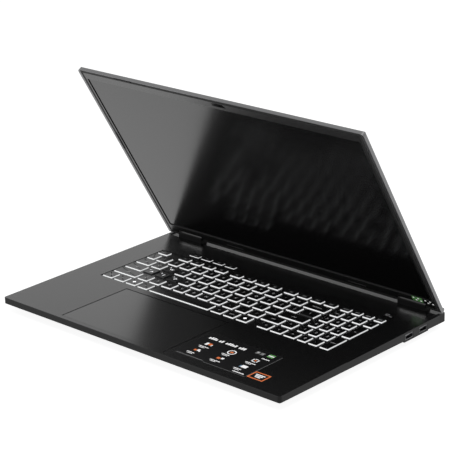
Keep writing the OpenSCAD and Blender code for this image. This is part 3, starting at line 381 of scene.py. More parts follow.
# Y of the front edge of the gutter before the hinge.
GUTTER_FROM = 0.1255
DECK_BLACK = (0.003, 0.003, 0.0031)
MATTE_BLACK = (0.004, 0.004, 0.0042)
finishes = {
    "deck": finish("satin_deck_metal", DECK_BLACK, 0.25, grain=0.00025, depth=0.000004, marks=0.04,
                   worn=(0.02, 0.02, 0.021), lint=0.25, specular=0.12, coat=0.85, wall_coat=0.14,
                   gutter_from=GUTTER_FROM),
    "underside": finish("textured_underside", (0.008, 0.008, 0.0085), 0.55, grain=0.0005, depth=0.00003,
                        marks=0.08),
    "foot_rubber": finish("foot_rubber", (0.008, 0.008, 0.008), 0.7, grain=0.0008, depth=0.00005,
                          worn=(0.02, 0.02, 0.02)),
    "screw_steel": finish("blackened_steel", (0.09, 0.09, 0.095), 0.32, metallic=1.0, grain=0.0002,
                          marks=0.15),
    "plate_metal": finish("plain_sheet_metal", (0.45, 0.46, 0.48), 0.4, metallic=1.0, grain=0.0004,
                          marks=0.2),
    "circuit_board": finish("green_solder_mask", (0.01, 0.09, 0.035), 0.35, grain=0.0006, depth=0.00003),
    "chip": finish("chip_package", (0.03, 0.032, 0.036), 0.3),
    "copper": finish("bare_copper", (0.75, 0.32, 0.17), 0.3, metallic=1.0, grain=0.0004, marks=0.3),
    "shield_metal": finish("shield_can", (0.55, 0.56, 0.57), 0.35, metallic=1.0, marks=0.2),
    "fan_plastic": finish("fan_shell_plastic", (0.01, 0.01, 0.01), 0.5, grain=0.0004, depth=0.00002),
    "rotor_plastic": finish("fan_blade_plastic", (0.018, 0.018, 0.02), 0.4, grain=0.0004),
    "fin_metal": finish("fin_aluminium", (0.6, 0.6, 0.61), 0.35, metallic=1.0, marks=0.2),
    "battery_wrap": finish("battery_wrap", (0.012, 0.012, 0.014), 0.5, grain=0.0012, depth=0.00004),
    "speaker_plastic": finish("speaker_box_plastic", (0.012, 0.012, 0.012), 0.5, grain=0.0005,
                              depth=0.00002),
    "socket_metal": finish("nickel_plate", (0.22, 0.22, 0.225), 0.35, metallic=1.0, grain=0.0002),
    "jack_plastic": finish("socket_plastic", (0.01, 0.01, 0.011), 0.4, grain=0.0002),
    "touch_glass": finish("etched_touch_glass", DECK_BLACK, 0.23, grain=0.0001, depth=0.000001,
                          marks=0.05, worn=(0.02, 0.02, 0.02), specular=0.15, coat=0.9),
    "button_plastic": finish("button_satin", DECK_BLACK, 0.34, grain=0.0002, marks=0.04),
    "hinge_steel": finish("hinge_steel", (0.35, 0.35, 0.36), 0.35, metallic=1.0, marks=0.2),
    "hinge_cover": finish("hinge_cover_plastic", MATTE_BLACK, 0.42, specular=0.2,
                          worn=(0.012, 0.012, 0.012)),
    "lid_metal": finish("satin_lid_metal", (0.21, 0.21, 0.213), 0.36, metallic=0.8, grain=0.00025,
                        depth=0.000004, marks=0.06, worn=(0.3, 0.3, 0.31)),
    "bezel_plastic": finish("matte_bezel", MATTE_BLACK, 0.34, ior=1.85, grain=0.0004, depth=0.00002,
                            marks=0.03, worn=(0.012, 0.012, 0.012)),
    "window_glass": finish("camera_window_gloss", (0.002, 0.002, 0.0025), 0.08, grain=0.0001,
                           depth=0.0000002),
    "screen_glass": screen_finish(),
    "key_plastic": finish("key_top_matte", (0.0022, 0.0022, 0.0023), 0.28, depth=0.000006, marks=0.05,
                          worn=(0.008, 0.008, 0.0085), edge=0.0003, specular=0.12, coat=0.75),
}
# The white skirts carry a painted glow.
KEY_SKIRT = skirt_with_painted_glow("key_skirt_white_painted_glow", (0.9, 0.91, 0.92), 0.62)
# Painted shade: a dark grey skirt front for one key, with no glow.
KEY_SKIRT_PAINTED_SHADE = skirt_with_painted_glow("key_skirt_painted_shade", (0.05, 0.05, 0.052), 0.0)
KEY_SKIRT_DARK = skirt_with_painted_glow("key_skirt_smoke", (0.02, 0.021, 0.022), 0.0)
# Legends and inks with a glow above 0 carry painted light, to look whiter.
LEGEND = ink_with_painted_glow("legend_grey_painted_glow", (0.42, 0.42, 0.43), 0.45)
LEGEND_BRIGHT = ink_with_painted_glow("legend_white_painted_glow", (0.85, 0.86, 0.88), 1.0)
LABEL_FILM = finish("label_film", (0.006, 0.006, 0.0065), 0.3, depth=0.000002, marks=0.05,
                    worn=(0.09, 0.09, 0.09), edge=0.0005)
INK_WHITE = ink_with_painted_glow("ink_white_painted_glow", (0.9, 0.9, 0.9), 0.45)
INK_GREY = ink_with_painted_glow("ink_grey", (0.24, 0.24, 0.243))
INK_ORANGE = ink_with_painted_glow("ink_orange_painted_glow", (0.76, 0.19, 0.06), 0.3)
INK_GREEN = ink_with_painted_glow("ink_green", (0.24, 0.68, 0.2))
INK_BLUE = ink_with_painted_glow("ink_blue", (0.25, 0.42, 0.6))
PAD_LINE_BLACK = finish("touchpad_line", (0.0015, 0.0015, 0.0016), 0.6, marks=0.03, specular=0.1,
                        worn=(0.004, 0.004, 0.004))
# Pale grey of a painted highlight along the display's lower edge.
DISPLAY_PAINTED_HIGHLIGHT = finish("display_edge_painted_highlight", (0.09, 0.09, 0.092), 0.45, marks=0.05)
CONTACT_GOLD = finish("contact_gold", (0.8, 0.55, 0.2), 0.25, metallic=1.0, marks=0.05)

slot_of = {part["node"]: part["material_slot"] for part in frame["record"]["subparts"]}
for name, node in nodes.items():
    node.data.materials.clear()
    node.data.materials.append(finishes[slot_of[name]])

# ---- Mesh helpers ----

# Thickness of printed marks.
INK = 0.02 * MM
# Points closer than this are joined, in new meshes and in the frame's nodes.
WELD = 0.0001 * MM
NODE_WELD = 0.001 * MM


def add_piece(name, mesh, body, materials, stands_for=()):
    """Turns a bmesh into a finished piece that rides on a body."""
    data = bpy.data.meshes.new(name)
    mesh.to_mesh(data)
    mesh.free()
    for material in materials:
        data.materials.append(material)
    piece = bpy.data.objects.new(name, data)
    scene.collection.objects.link(piece)
    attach(piece, body)
    if stands_for:
        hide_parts(*stands_for)


def append_mesh(joined, mesh, index=None, turn=None):
    """Adds a small bmesh to a larger one; an index puts all its faces on one material."""
    if index is not None:
        for face in mesh.faces:
            face.material_index = index
    if turn is not None:
        bmesh.ops.transform(mesh, matrix=turn, verts=mesh.verts)
    data = bpy.data.meshes.new("part")
    mesh.to_mesh(data)
    mesh.free()
    joined.from_mesh(data)
    bpy.data.meshes.remove(data)


def block(low, high):
    """A box between two corners."""
    mesh = bmesh.new()
    bmesh.ops.create_cube(mesh, size=1.0)
    low, high = Vector(low), Vector(high)
    bmesh.ops.scale(mesh, vec=high - low, verts=mesh.verts)
    bmesh.ops.translate(mesh, vec=(low + high) / 2, verts=mesh.verts)
    return mesh


def round_corners(mesh, least_height, corner, segments):
    """Rounds the upright edges that are taller than a least height."""
    upright = [edge for edge in mesh.edges
               if abs(edge.verts[0].co.z - edge.verts[1].co.z) > least_height]
    bmesh.ops.bevel(mesh, geom=upright, offset=corner, segments=segments, profile=0.5, affect="EDGES",
                    material=-1)


def plate(width, depth, thickness, corner, segments=4):
    """A thin plate lying at z = 0, centred, with rounded corners."""
    mesh = block((-width / 2, -depth / 2, 0), (width / 2, depth / 2, thickness))
    round_corners(mesh, thickness / 2, corner, segments)
    return mesh


def disc(radius, thickness, sides=24):
    """A round plate lying at z = 0, centred."""
    mesh = bmesh.new()
    bmesh.ops.create_cone(mesh, cap_ends=True, segments=sides, radius1=radius, radius2=radius,
                          depth=thickness)
    bmesh.ops.translate(mesh, vec=(0, 0, thickness / 2), verts=mesh.verts)
    return mesh


def ring(radius, width, thickness, sides=28, start=0.0, turn=math.tau):
    """A flat ring, or a part of one, lying at z = 0."""
    mesh = bmesh.new()
    bmesh.ops.create_grid(mesh, x_segments=1, y_segments=1, size=0.5)
    bmesh.ops.scale(mesh, vec=(width, 1.0, 1.0), verts=mesh.verts)
    bmesh.ops.rotate(mesh, matrix=Matrix.Rotation(math.pi / 2, 3, "X"), verts=mesh.verts)
    bmesh.ops.scale(mesh, vec=(1.0, 1.0, thickness), verts=mesh.verts)
    bmesh.ops.translate(mesh, vec=(radius, 0, thickness / 2), verts=mesh.verts)
    bmesh.ops.rotate(mesh, matrix=Matrix.Rotation(start, 3, "Z"), verts=mesh.verts)
    full = turn >= math.tau
    bmesh.ops.spin(mesh, geom=mesh.verts[:] + mesh.edges[:] + mesh.faces[:], cent=(0, 0, 0),
                   axis=(0, 0, 1), angle=turn, steps=sides, use_merge=full, use_duplicate=False)
    if full:
        # A full turn leaves the profiles of its steps inside the ring; the two at y = 0 are removed.
        profiles = [face for face in mesh.faces
                    if abs(face.calc_center_median().y) < 1e-9 and abs(face.normal.y) > 0.99]
        bmesh.ops.delete(mesh, geom=profiles, context="FACES_ONLY")
        bmesh.ops.remove_doubles(mesh, verts=mesh.verts, dist=WELD)
    bmesh.ops.recalc_face_normals(mesh, faces=mesh.faces)
    return mesh


def lettering(words, size):
    """Flat letters as thick as ink, centred on the origin."""
    curve = bpy.data.curves.new("letters", "FONT")
    curve.body = words
    curve.size = size
    curve.align_x = "CENTER"
    curve.align_y = "CENTER"
    curve.extrude = INK / 2
    curve.resolution_u = 2
    text = bpy.data.objects.new("letters", curve)
    scene.collection.objects.link(text)
    bpy.context.view_layer.update()
    data = bpy.data.meshes.new_from_object(text.evaluated_get(bpy.context.evaluated_depsgraph_get()))
    mesh = bmesh.new()
    mesh.from_mesh(data)
    bmesh.ops.remove_doubles(mesh, verts=mesh.verts, dist=WELD)
    bmesh.ops.recalc_face_normals(mesh, faces=mesh.faces)
    bpy.data.objects.remove(text)
    bpy.data.curves.remove(curve)
    bpy.data.meshes.remove(data)
    return mesh


def solids_of(name):
    """Lowest and highest corners of a node's separate solids, from the rear left to the front right."""
    mesh = bmesh.new()
    mesh.from_mesh(nodes[name].data)
    bmesh.ops.remove_doubles(mesh, verts=mesh.verts, dist=NODE_WELD)
    waiting = set(mesh.verts)
    corners = []
    while waiting:
        reached = [waiting.pop()]
        places = []
        while reached:
            vert = reached.pop()
            places.append(vert.co.copy())
            for edge in vert.link_edges:
                other = edge.other_vert(vert)
                if other in waiting:
                    waiting.remove(other)
                    reached.append(other)
        corners.append(tuple(Vector([pick(place[axis] for place in places) for axis in range(3)])
                             for pick in (min, max)))
    mesh.free()
    return sorted(corners, key=lambda pair: (-round(pair[0].y, 4), pair[0].x))


# ---- Key caps and their legends ----

CAP_CORNER = 0.9 * MM
CAP_TAPER = 0.4 * MM
CAP_EDGE = 0.32 * MM
CAP_DISH = 0.12 * MM
CAP_DISH_RIM = 1.4 * MM
# Between faces of one height the larger one counts as the top.
AREA_WEIGHT = 0.001
# A skirt's face counts as its front up to this facing along Y.
FRONT_FACING = -0.7


def key_cap(low, high):
    """One cap: a tapered skirt (material 1) under a dished, softly edged top (material 0)."""
    mesh = block(low, high)
    round_corners(mesh, MM, CAP_CORNER, 3)
    middle = (low + high) / 2
    top_verts = [vert for vert in mesh.verts if vert.co.z > middle.z]
    size = high - low
    shrink = Vector((1 - 2 * CAP_TAPER / size.x, 1 - 2 * CAP_TAPER / size.y, 1))
    bmesh.ops.scale(mesh, vec=shrink, verts=top_verts, space=Matrix.Translation(-middle))
    for face in mesh.faces:
        face.material_index = 0 if face.normal.z > LEVEL_FACING else 1
    top = next(face for face in mesh.faces if face.normal.z > LEVEL_FACING)
    bmesh.ops.bevel(mesh, geom=top.edges[:], offset=CAP_EDGE, segments=2, profile=0.5, affect="EDGES",
                    material=0)
    top = max(mesh.faces, key=lambda face: face.calc_center_median().z + face.calc_area() * AREA_WEIGHT)
    bmesh.ops.inset_region(mesh, faces=[top], thickness=CAP_DISH_RIM, depth=-CAP_DISH,
                           use_even_offset=True)
    return mesh


# The words of each node's keys, from the rear left to the front right.
DIAMOND = "diamond"
legends = {
    "keys_function": ["esc"] + [f"F{number}" for number in range(1, 13)],
    "keys_navigation": ["home", "end", "pgup", "pgdn"],
    "keys_number": list("`1234567890-="),
    "key_backspace": ["backspace"],
    "keys_upper": ["tab"] + list("QERTYUIOP[]\\"),
    "keys_home": ["caps"] + list("FGHJKL;'"),
    "key_enter": ["enter"],
    "keys_steer": list("WASD"),
    "keys_lower": ["shift"] + list("ZXCVBNM,./") + ["shift"],
    "keys_bottom": ["ctrl", "fn", DIAMOND, "alt", "alt", "menu", DIAMOND],
    "key_space": [],
    "keys_arrow": ["^", "<", "v", ">"],
    "keys_numpad": ["num", "/", "*", "-", "7", "8", "9", "4", "5", "6", "1", "2", "3", "0", "."],
    "key_plus": ["+"],
    "key_numpad_enter": ["enter"],
    "keys_media": ["<<", "=", ">>", "o"],
}
# Single letters are large, but not on keys of less than the full depth.
FULL_KEY_DEPTH = 10 * MM
LETTER_SIZE = 5.2 * MM
WORD_SIZE = 3.1 * MM
LEGEND_LIFT = 0.02 * MM
DIAMOND_SIDE = 3.4 * MM
DIAMOND_CORNER = 0.3 * MM
# A steering key has an arrow at its rear left and its letter at its front right.
STEER_ARROWS = "^<v>"
STEER_SIZE = 5.8 * MM
STEER_SHIFT = Vector((1.8 * MM, -1.2 * MM, 0))
ARROW_SIZE = 5.0 * MM
ARROW_SHIFT = Vector((-3.4 * MM, 2.2 * MM, 0))


def add_legend(marks, word, low, high, arrow):
    """Prints one key: a word or letter (material 0), with an arrow if given, or a diamond (1)."""
    centre = Vector(((low.x + high.x) / 2, (low.y + high.y) / 2, high.z - CAP_DISH + LEGEND_LIFT))
    if word == DIAMOND:
        mark = plate(DIAMOND_SIDE, DIAMOND_SIDE, INK, DIAMOND_CORNER, 2)
        turn = Matrix.Translation(centre) @ Matrix.Rotation(math.radians(45), 4, "Z")
        append_mesh(marks, mark, 1, turn)
        return
    size = LETTER_SIZE if len(word) == 1 and high.y - low.y >= FULL_KEY_DEPTH else WORD_SIZE
    if arrow:
        size = STEER_SIZE
        append_mesh(marks, lettering(arrow, ARROW_SIZE), 0, Matrix.Translation(centre + ARROW_SHIFT))
        centre = centre + STEER_SHIFT
    append_mesh(marks, lettering(word, size), 0, Matrix.Translation(centre))


for node_name, words in legends.items():
    steer = node_name == "keys_steer"
    painted_shade_front = node_name == "keys_upper"
    caps = bmesh.new()
    print_marks = bmesh.new()
    for place, (low, high) in enumerate(solids_of(node_name)):
        cap = key_cap(low, high)
        if painted_shade_front and place == len(words) - 1:
            # The last key of this row has its front painted dark grey as shade (material 2).
            for face in cap.faces:
                if face.material_index == 1 and face.normal.y < FRONT_FACING:
                    face.material_index = 2
        append_mesh(caps, cap)
        if place < len(words):
            add_legend(print_marks, words[place], low, high, STEER_ARROWS[place] if steer else None)
    plastics = [finishes["key_plastic"], KEY_SKIRT_DARK if steer else KEY_SKIRT]
    if painted_shade_front:
        plastics.append(KEY_SKIRT_PAINTED_SHADE)
    add_piece(f"caps_{node_name}", caps, node_name, plastics, [node_name])
    if words:
        inks = [LEGEND_BRIGHT if steer else LEGEND]
        if DIAMOND in words:
            inks.append(LEGEND_BRIGHT)
        add_piece(f"legends_{node_name}", print_marks, node_name, inks)
    else:
        print_marks.free()

# ---- Power button mark ----

MARK_THICKNESS = 0.03 * MM
LINE_WIDTH = 0.4 * MM
RING_PLACE = (-2.6 * MM, 0.9 * MM)
RING_RADIUS = 1.9 * MM
RING_START, RING_TURN = math.radians(125), math.radians(290)
STROKE_FROM, STROKE_TO = 0.5 * MM, 2.3 * MM
LAMP_PLACE = (3.0 * MM, -1.6 * MM)
LAMP_HALF = (1.6 * MM, 0.35 * MM)
power_low, power_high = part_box("power_button")
power_centre = (power_low + power_high) / 2
power_mark = bmesh.new()
ring_place = Matrix.Translation((power_centre.x + RING_PLACE[0], power_centre.y + RING_PLACE[1],
                                 power_high.z))
append_mesh(power_mark, ring(RING_RADIUS, LINE_WIDTH, MARK_THICKNESS, 20, RING_START, RING_TURN), 0,
            ring_place)
append_mesh(power_mark, block((-LINE_WIDTH / 2, STROKE_FROM, 0),
                              (LINE_WIDTH / 2, STROKE_TO, MARK_THICKNESS)), 0, ring_place)
lamp_place = Vector((power_centre.x + LAMP_PLACE[0], power_centre.y + LAMP_PLACE[1], power_high.z))
append_mesh(power_mark, block(lamp_place - Vector((*LAMP_HALF, 0)),
                              lamp_place + Vector((*LAMP_HALF, MARK_THICKNESS))), 0)
# The mark's ink carries the legends' painted glow.
add_piece("power_mark", power_mark, "power_button", [LEGEND])

# ---- Plain label on the palm rest ----

FILM = 0.08 * MM
FILM_CORNER = 2 * MM
BAR_CORNER = 0.15 * MM
# Pitch of a row's marks and height of each third one, as shares of the row's height.
ROW_PITCH, LOW_MARK = 0.62, 0.72
# Width of a mark as a share of the pitch.
MARK_WIDTH = 0.78
# The white and orange inks carry a painted glow.
label_materials = [LABEL_FILM, INK_WHITE, INK_ORANGE, INK_GREEN, INK_GREY, INK_BLUE]
BACKING, WHITE, ORANGE, GREEN, GREY, BLUE = range(len(label_materials))
label_mesh = bmesh.new()


def deck_place(x, y):
    """A place on the palm rest, measured from the front left corner of the base in millimetres."""
    return Vector((left_edge + x * MM, front_edge + y * MM, deck_top))


def ink_bar(x, y, width, height, index):
    """A bar of one ink on the label, in millimetres, placed by its middle."""
    centre = deck_place(x, y) + Vector((0, 0, FILM))
    append_mesh(label_mesh, plate(width * MM, height * MM, INK, BAR_CORNER, 2), index,
                Matrix.Translation(centre))


def ink_ring(x, y, radius, width, index):
    """A ring of one ink on the label, in millimetres, placed by its middle."""
    centre = deck_place(x, y) + Vector((0, 0, FILM))
    append_mesh(label_mesh, ring(radius * MM, width * MM, INK), index, Matrix.Translation(centre))


def ink_row(x, y, length, height, index):
    """A row of small marks that stands for a line of print, from x on."""
    pitch = height * ROW_PITCH
    for place in range(int(length / pitch)):
        tall = height if place % 3 else height * LOW_MARK
        ink_bar(x + (place + 0.5) * pitch, y + (tall - height) / 2, pitch * MARK_WIDTH, tall, index)


LABEL_X, LABEL_Y, LABEL_WIDTH, LABEL_HEIGHT = 296, 43, 100, 60
# Where the words of the headline begin, and how long they are.
HEADLINE_Y, HEADLINE_HEIGHT = 63, 4.8
HEADLINE_WORDS = ((252.8, 12.5), (266.8, 7.6), (276.2, 16.4), (294.2, 11.6))
# Icons by column and row; each bar is its middle from the icon's middle, its size and its ink.
ICON_X, ICON_Y = 264.5, 49
COLUMN_PITCH, ROW_DROP = 32, 18
# The icon with a ring, and the ring's radius and width.
RING_ICON, ICON_RING = (1, 0), (4.4, 1.3)
# Two captions under each icon: start from its middle, length and height. The upper one varies.
UPPER_CAPTIONS = ((-7, -7.4, 14, 1.7), (-7, -7.4, 11, 1.7))
LOWER_CAPTION = (-5, -9.8, 8, 1.3)
ICONS = {
    (0, 0): ((-2.6, 0.2, 3.2, 5.6, WHITE), (1.4, 0.8, 4.0, 4.6, ORANGE), (4.4, -0.6, 1.2, 3.4, WHITE)),
    (0, 1): ((-1.8, -0.4, 3.2, 3.4, ORANGE), (1.8, 0.8, 3.0, 4.0, WHITE), (4.2, -1.0, 1.4, 2.4, WHITE)),
    (1, 0): ((0, 0, 3.8, 3.0, ORANGE),),
    (1, 1): ((-1.6, -0.6, 4.2, 3.6, ORANGE), (2.8, 0.8, 3.2, 3.4, WHITE)),
    (2, 0): ((0, 0, 2.2, 2.2, ORANGE), (-3.2, 0, 1.2, 5.6, WHITE), (3.2, 0, 1.2, 5.6, WHITE),
             (0, 3.0, 4.2, 1.2, WHITE), (0, -3.0, 4.2, 1.2, WHITE)),
    (2, 1): ((1.0, 0, 7.0, 5.4, WHITE), (-3.6, -0.6, 1.6, 4.2, BLUE)),
}
# Two small sockets and a striped flag, rows of small print, and thin rules.
LABEL_BARS = (
    (317.5, 65.5, 4.6, 5.4, GREY), (317.5, 66.2, 2.6, 2.6, WHITE),
    (323.5, 65.5, 4.6, 5.4, GREY), (323.5, 66.2, 2.6, 2.6, WHITE),
    (334.2, 69.4, 7.4, 1.7, GREEN), (334.2, 67.0, 7.4, 1.7, WHITE), (334.2, 64.6, 7.4, 1.7, GREEN),
)
LABEL_ROWS = ((329.5, 57.5, 11, 1.8, WHITE), (326, 17, 16, 1.9, WHITE), (250, 15.6, 38, 1.5, GREY))
LABEL_RULES = ((317, 13.6, 56, 0.5, GREY), (345.4, 43, 0.5, 56, GREY))

append_mesh(label_mesh, plate(LABEL_WIDTH * MM, LABEL_HEIGHT * MM, FILM, FILM_CORNER), BACKING,
            Matrix.Translation(deck_place(LABEL_X, LABEL_Y)))
for start, length in HEADLINE_WORDS:
    ink_row(start, HEADLINE_Y, length, HEADLINE_HEIGHT, WHITE)
for (column, row), bars in ICONS.items():
    x, y = ICON_X + column * COLUMN_PITCH, ICON_Y - row * ROW_DROP
    if (column, row) == RING_ICON:
        ink_ring(x, y, *ICON_RING, WHITE)
    for across, along, width, height, index in bars:
        ink_bar(x + across, y + along, width, height, index)
    for across, along, length, height in (UPPER_CAPTIONS[(column + row) % 2], LOWER_CAPTION):
        ink_row(x + across, y + along, length, height, WHITE)
for bar in LABEL_BARS:
    ink_bar(*bar)
for row in LABEL_ROWS:
    ink_row(*row)
for rule in LABEL_RULES:
    ink_bar(*rule)
add_piece("palm_label", label_mesh, "base", label_materials)

# ---- Plain badges on the palm rest and the lid ----

BADGE_CORNER = 0.2 * MM


def badge_bar(badge, middle, x, y, width, height, index):
    """A bar of one ink on a badge, in millimetres from the badge's middle."""
    lift = Matrix.Translation((x * MM, y * MM, FILM))
    append_mesh(badge, plate(width * MM, height * MM, INK, BADGE_CORNER, 2), index, middle @ lift)


PALM_X, PALM_Y, PALM_WIDTH, PALM_HEIGHT = 356.1, 23, 21, 16
PALM_CORNER = 1 * MM
PALM_FRAME = ((0, 6.8, 20, 1.5), (0, -6.8, 20, 1.5), (-9.2, 0, 1.5, 12.2), (9.2, 0, 1.5, 12.2))
# Rows of the palm badge: pitch, height, length of the first and how much shorter each next one is.
PALM_PITCH, PALM_ROW, PALM_LENGTH, PALM_LESS = 2.6, 1.6, 12, 2.5
palm_badge = bmesh.new()
badge_place = Matrix.Translation(deck_place(PALM_X, PALM_Y))
append_mesh(palm_badge, plate(PALM_WIDTH * MM, PALM_HEIGHT * MM, FILM, PALM_CORNER), 0, badge_place)
for bar in PALM_FRAME:
    badge_bar(palm_badge, badge_place, *bar, 1)
for row in range(3):
    badge_bar(palm_badge, badge_place, 0, PALM_PITCH - row * PALM_PITCH, PALM_LENGTH - row * PALM_LESS,
              PALM_ROW, 2)
add_piece("palm_badge", palm_badge, "base", [LABEL_FILM, INK_ORANGE, INK_WHITE])

CHIN_BADGES = (375.2, 390.8)
CHIN_WIDTH, CHIN_HEIGHT, CHIN_REACH = 14, 7, 11.5
CHIN_CORNER = 0.8 * MM
# Pitch and width of the marks as shares of the badge's width; they step up and down.
CHIN_MARKS = 4
CHIN_MARK_PITCH, CHIN_MARK_WIDTH = 0.22, 0.16
CHIN_MARK_HEIGHT, CHIN_STEP = 1.5, 3
chin_badge = bmesh.new()
for index, x in enumerate(CHIN_BADGES):
    spot = lid_face @ Matrix.Translation((left_edge + x * MM, CHIN_REACH * MM, LID_HALF))
    append_mesh(chin_badge, plate(CHIN_WIDTH * MM, CHIN_HEIGHT * MM, FILM, CHIN_CORNER), index, spot)
    for place in range(CHIN_MARKS):
        badge_bar(chin_badge, spot, (place - (CHIN_MARKS - 1) / 2) * CHIN_WIDTH * CHIN_MARK_PITCH,
                  CHIN_STEP / 2 - CHIN_STEP * (place % 2), CHIN_WIDTH * CHIN_MARK_WIDTH,
                  CHIN_MARK_HEIGHT, 2)
add_piece("chin_badge", chin_badge, "lid", [INK_GREEN, LABEL_FILM, INK_WHITE])

# ---- Dark line along the touchpad's left, right and rear edges ----

PAD_GAP = 0.4 * MM
PAD_LINE = 0.9 * MM
pad_low, pad_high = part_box("touchpad")
pad_line = bmesh.new()
left, front = pad_low.x - PAD_GAP, pad_low.y - PAD_GAP
right, back = pad_high.x + PAD_GAP, pad_high.y + PAD_GAP
for low_x, low_y, high_x in ((left - PAD_LINE, front, left), (right, front, right + PAD_LINE),
                             (left, back, right)):
    append_mesh(pad_line, block((low_x, low_y, deck_top), (high_x, back + PAD_LINE, deck_top + INK)), 0)
add_piece("touchpad_line", pad_line, "base", [PAD_LINE_BLACK])

# ---- Painted highlight: a pale strip along the display's lower edge ----

# The strip stands in for the highlight on the display's lower edge.
HIGHLIGHT_HALF_LENGTH = 192 * MM
HIGHLIGHT_FROM, HIGHLIGHT_TO = 13.9 * MM, 14.4 * MM
HIGHLIGHT_THICKNESS = 0.05 * MM
highlight_strip = bmesh.new()
append_mesh(highlight_strip, block((-HIGHLIGHT_HALF_LENGTH, HIGHLIGHT_FROM, LID_HALF),
                       (HIGHLIGHT_HALF_LENGTH, HIGHLIGHT_TO, LID_HALF + HIGHLIGHT_THICKNESS)), 0, lid_face)
add_piece("display_edge_painted_highlight", highlight_strip, "lid", [DISPLAY_PAINTED_HIGHLIGHT])

# ---- Camera lens, its lamp and the microphone holes ----

LENS_REACH = 261.1 * MM
# Distance from the window's left edge, and radius, in millimetres.
LENSES = ((2.0, 1.1), (8.0, 0.45))
LENS_DEPTH = 0.1 * MM
LENS_THICKNESS = 0.05 * MM
LENS_RIM, LENS_RIM_THICKNESS = 0.12 * MM, 0.09 * MM
# The microphone holes, as distances from the same edge, and their size and corners.
HOLES = (-18.4, 40)
HOLE_SIZE, HOLE_CORNER = (1.4 * MM, 0.5 * MM), 0.2 * MM
window_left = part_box("camera_window")[0].x
lens = bmesh.new()
for offset, radius in LENSES:
    spot = lid_face @ Matrix.Translation((window_left + offset * MM, LENS_REACH, LID_HALF - LENS_DEPTH))
    append_mesh(lens, disc(radius * MM, LENS_THICKNESS), 0, spot)
    append_mesh(lens, ring(radius * MM, LENS_RIM, LENS_RIM_THICKNESS), 1, spot)
for offset in HOLES:
    spot = lid_face @ Matrix.Translation((window_left + offset * MM, LENS_REACH, LID_HALF))
    append_mesh(lens, plate(*HOLE_SIZE, INK, HOLE_CORNER), 0, spot)
add_piece("camera_lens", lens, "lid", [finishes["window_glass"], KEY_SKIRT_DARK])

# ---- Gold contacts in the sockets ----

CONTACT_SPREAD = 0.62
CONTACT_SETBACK = 3.2 * MM
CONTACT_LENGTH = 6 * MM
CONTACT_THICKNESS = 0.06 * MM


def contacts(node_name, count, width, tongue, inward):
    """Thin gold strips on the tongue of each socket of a node; inward is 1 or -1, the way in along X."""
    mesh = bmesh.new()
    for low, high in solids_of(node_name):
        middle = (low + high) / 2
        spread = (high.y - low.y) * CONTACT_SPREAD
        x = low.x + CONTACT_SETBACK if inward > 0 else high.x - CONTACT_SETBACK
        start, end = sorted((x, x + inward * CONTACT_LENGTH))
        bottom = middle.z + tongue / 2
        for place in range(count):
            y = middle.y + (place / (count - 1) - 0.5) * spread
            append_mesh(mesh, block((start, y - width / 2, bottom),
                                    (end, y + width / 2, bottom + CONTACT_THICKNESS)), 0)
    add_piece(f"contacts_{node_name}", mesh, "base", [CONTACT_GOLD])


contacts("usb_a_sockets", 4, 1.2 * MM, 1.6 * MM, -1)
contacts("usb_c_sockets", 8, 0.35 * MM, 0.7 * MM, 1)
contacts("video_socket", 10, 0.5 * MM, 1.2 * MM, 1)

# ---- Floor, surroundings, light and camera ----

def seen_directly(tree):
    """1 for rays from the camera, from reflections and through glass, 0 for the others."""
    paths = tree.nodes.new("ShaderNodeLightPath")
    seen = math_node(tree, "MAXIMUM", paths.outputs["Is Camera Ray"], paths.outputs["Is Glossy Ray"])
    return math_node(tree, "MAXIMUM", seen, paths.outputs["Is Transmission Ray"])


def background_material(name, color, glow):
    """Pale matte surface whose glow shows only to the camera, in reflections and through glass."""
    material = bpy.data.materials.new(name)
    material.use_nodes = True
    tree = material.node_tree
    tree.nodes.clear()
    matte = tree.nodes.new("ShaderNodeBsdfDiffuse")
    matte.inputs["Color"].default_value = color
    light = tree.nodes.new("ShaderNodeEmission")
    light.inputs["Strength"].default_value = glow
    nothing = tree.nodes.new("ShaderNodeEmission")
    nothing.inputs["Strength"].default_value = 0.0
    chosen = tree.nodes.new("ShaderNodeMixShader")
    total = tree.nodes.new("ShaderNodeAddShader")
    end = tree.nodes.new("ShaderNodeOutputMaterial")
    for output, socket in ((seen_directly(tree), chosen.inputs["Fac"]),
                           (nothing.outputs[0], chosen.inputs[1]), (light.outputs[0], chosen.inputs[2]),
                           (matte.outputs[0], total.inputs[0]), (chosen.outputs[0], total.inputs[1]),
                           (total.outputs[0], end.inputs["Surface"])):
        tree.links.new(output, socket)
    return material


FLOOR_HALF = 6.0
FLOOR_GREY = (0.35, 0.35, 0.35, 1.0)
FLOOR_GLOW = 0.9
floor_mesh = bmesh.new()
bmesh.ops.create_grid(floor_mesh, x_segments=8, y_segments=8, size=FLOOR_HALF)
floor_data = bpy.data.meshes.new("floor")
floor_mesh.to_mesh(floor_data)
floor_mesh.free()
floor_data.materials.append(background_material("pale_floor", FLOOR_GREY, FLOOR_GLOW))
floor = bpy.data.objects.new("floor", floor_data)
scene.collection.objects.link(floor)

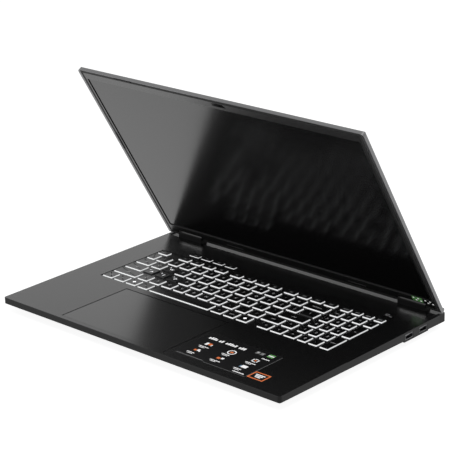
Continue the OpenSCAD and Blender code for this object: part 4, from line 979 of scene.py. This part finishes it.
# The surroundings light the object with one strength, and look brighter by another.
WORLD_LIGHT, WORLD_EXTRA = 0.55, 0.45
world = bpy.data.worlds.new("pale_surroundings")
world.use_nodes = True
scene.world = world
world_tree = world.node_tree
world_tree.nodes.clear()
extra = math_node(world_tree, "MULTIPLY", seen_directly(world_tree), WORLD_EXTRA)
sky = world_tree.nodes.new("ShaderNodeBackground")
world_tree.links.new(math_node(world_tree, "ADD", extra, WORLD_LIGHT), sky.inputs["Strength"])
sky_out = world_tree.nodes.new("ShaderNodeOutputWorld")
world_tree.links.new(sky.outputs[0], sky_out.inputs["Surface"])

LIGHT_PLACE = Vector((0.8, -0.9, 2.2))
LIGHT_TARGET = Vector((0, 0, 0.05))
LIGHT_SIDE = 1.4
LIGHT_POWER = 24.0
light_data = bpy.data.lights.new("overhead_softbox", "AREA")
light_data.shape = "RECTANGLE"
light_data.size = LIGHT_SIDE
light_data.size_y = LIGHT_SIDE
light_data.energy = LIGHT_POWER
light = bpy.data.objects.new("overhead_softbox", light_data)
light.location = LIGHT_PLACE
light.rotation_euler = (LIGHT_TARGET - LIGHT_PLACE).to_track_quat("-Z", "Y").to_euler()
scene.collection.objects.link(light)

CAMERA_TARGET = Vector((-0.16614, 0.19032, 0.0185))
CAMERA_AZIMUTH = math.radians(-47.29)
CAMERA_ELEVATION = math.radians(19.98)
CAMERA_ROLL = math.radians(-1.38)
CAMERA_DISTANCE = 2.17235
CAMERA_LENS = 142.34
CAMERA_SENSOR = 36.0
backward = Vector((math.cos(CAMERA_ELEVATION) * math.cos(CAMERA_AZIMUTH),
                   math.cos(CAMERA_ELEVATION) * math.sin(CAMERA_AZIMUTH), math.sin(CAMERA_ELEVATION)))
level_right = Vector((0, 0, 1)).cross(backward).normalized()
level_up = backward.cross(level_right)
camera_right = level_right * math.cos(CAMERA_ROLL) + level_up * math.sin(CAMERA_ROLL)
camera_up = level_up * math.cos(CAMERA_ROLL) - level_right * math.sin(CAMERA_ROLL)
camera_data = bpy.data.cameras.new("camera")
camera_data.sensor_width = CAMERA_SENSOR
camera_data.lens = CAMERA_LENS
camera = bpy.data.objects.new("camera", camera_data)
camera.matrix_world = Matrix.Translation(CAMERA_TARGET + backward * CAMERA_DISTANCE) @ Matrix(
    (camera_right, camera_up, backward)).transposed().to_4x4()
scene.collection.objects.link(camera)
scene.camera = camera
scene.view_settings.view_transform = "Standard"

bpy.context.view_layer.update()
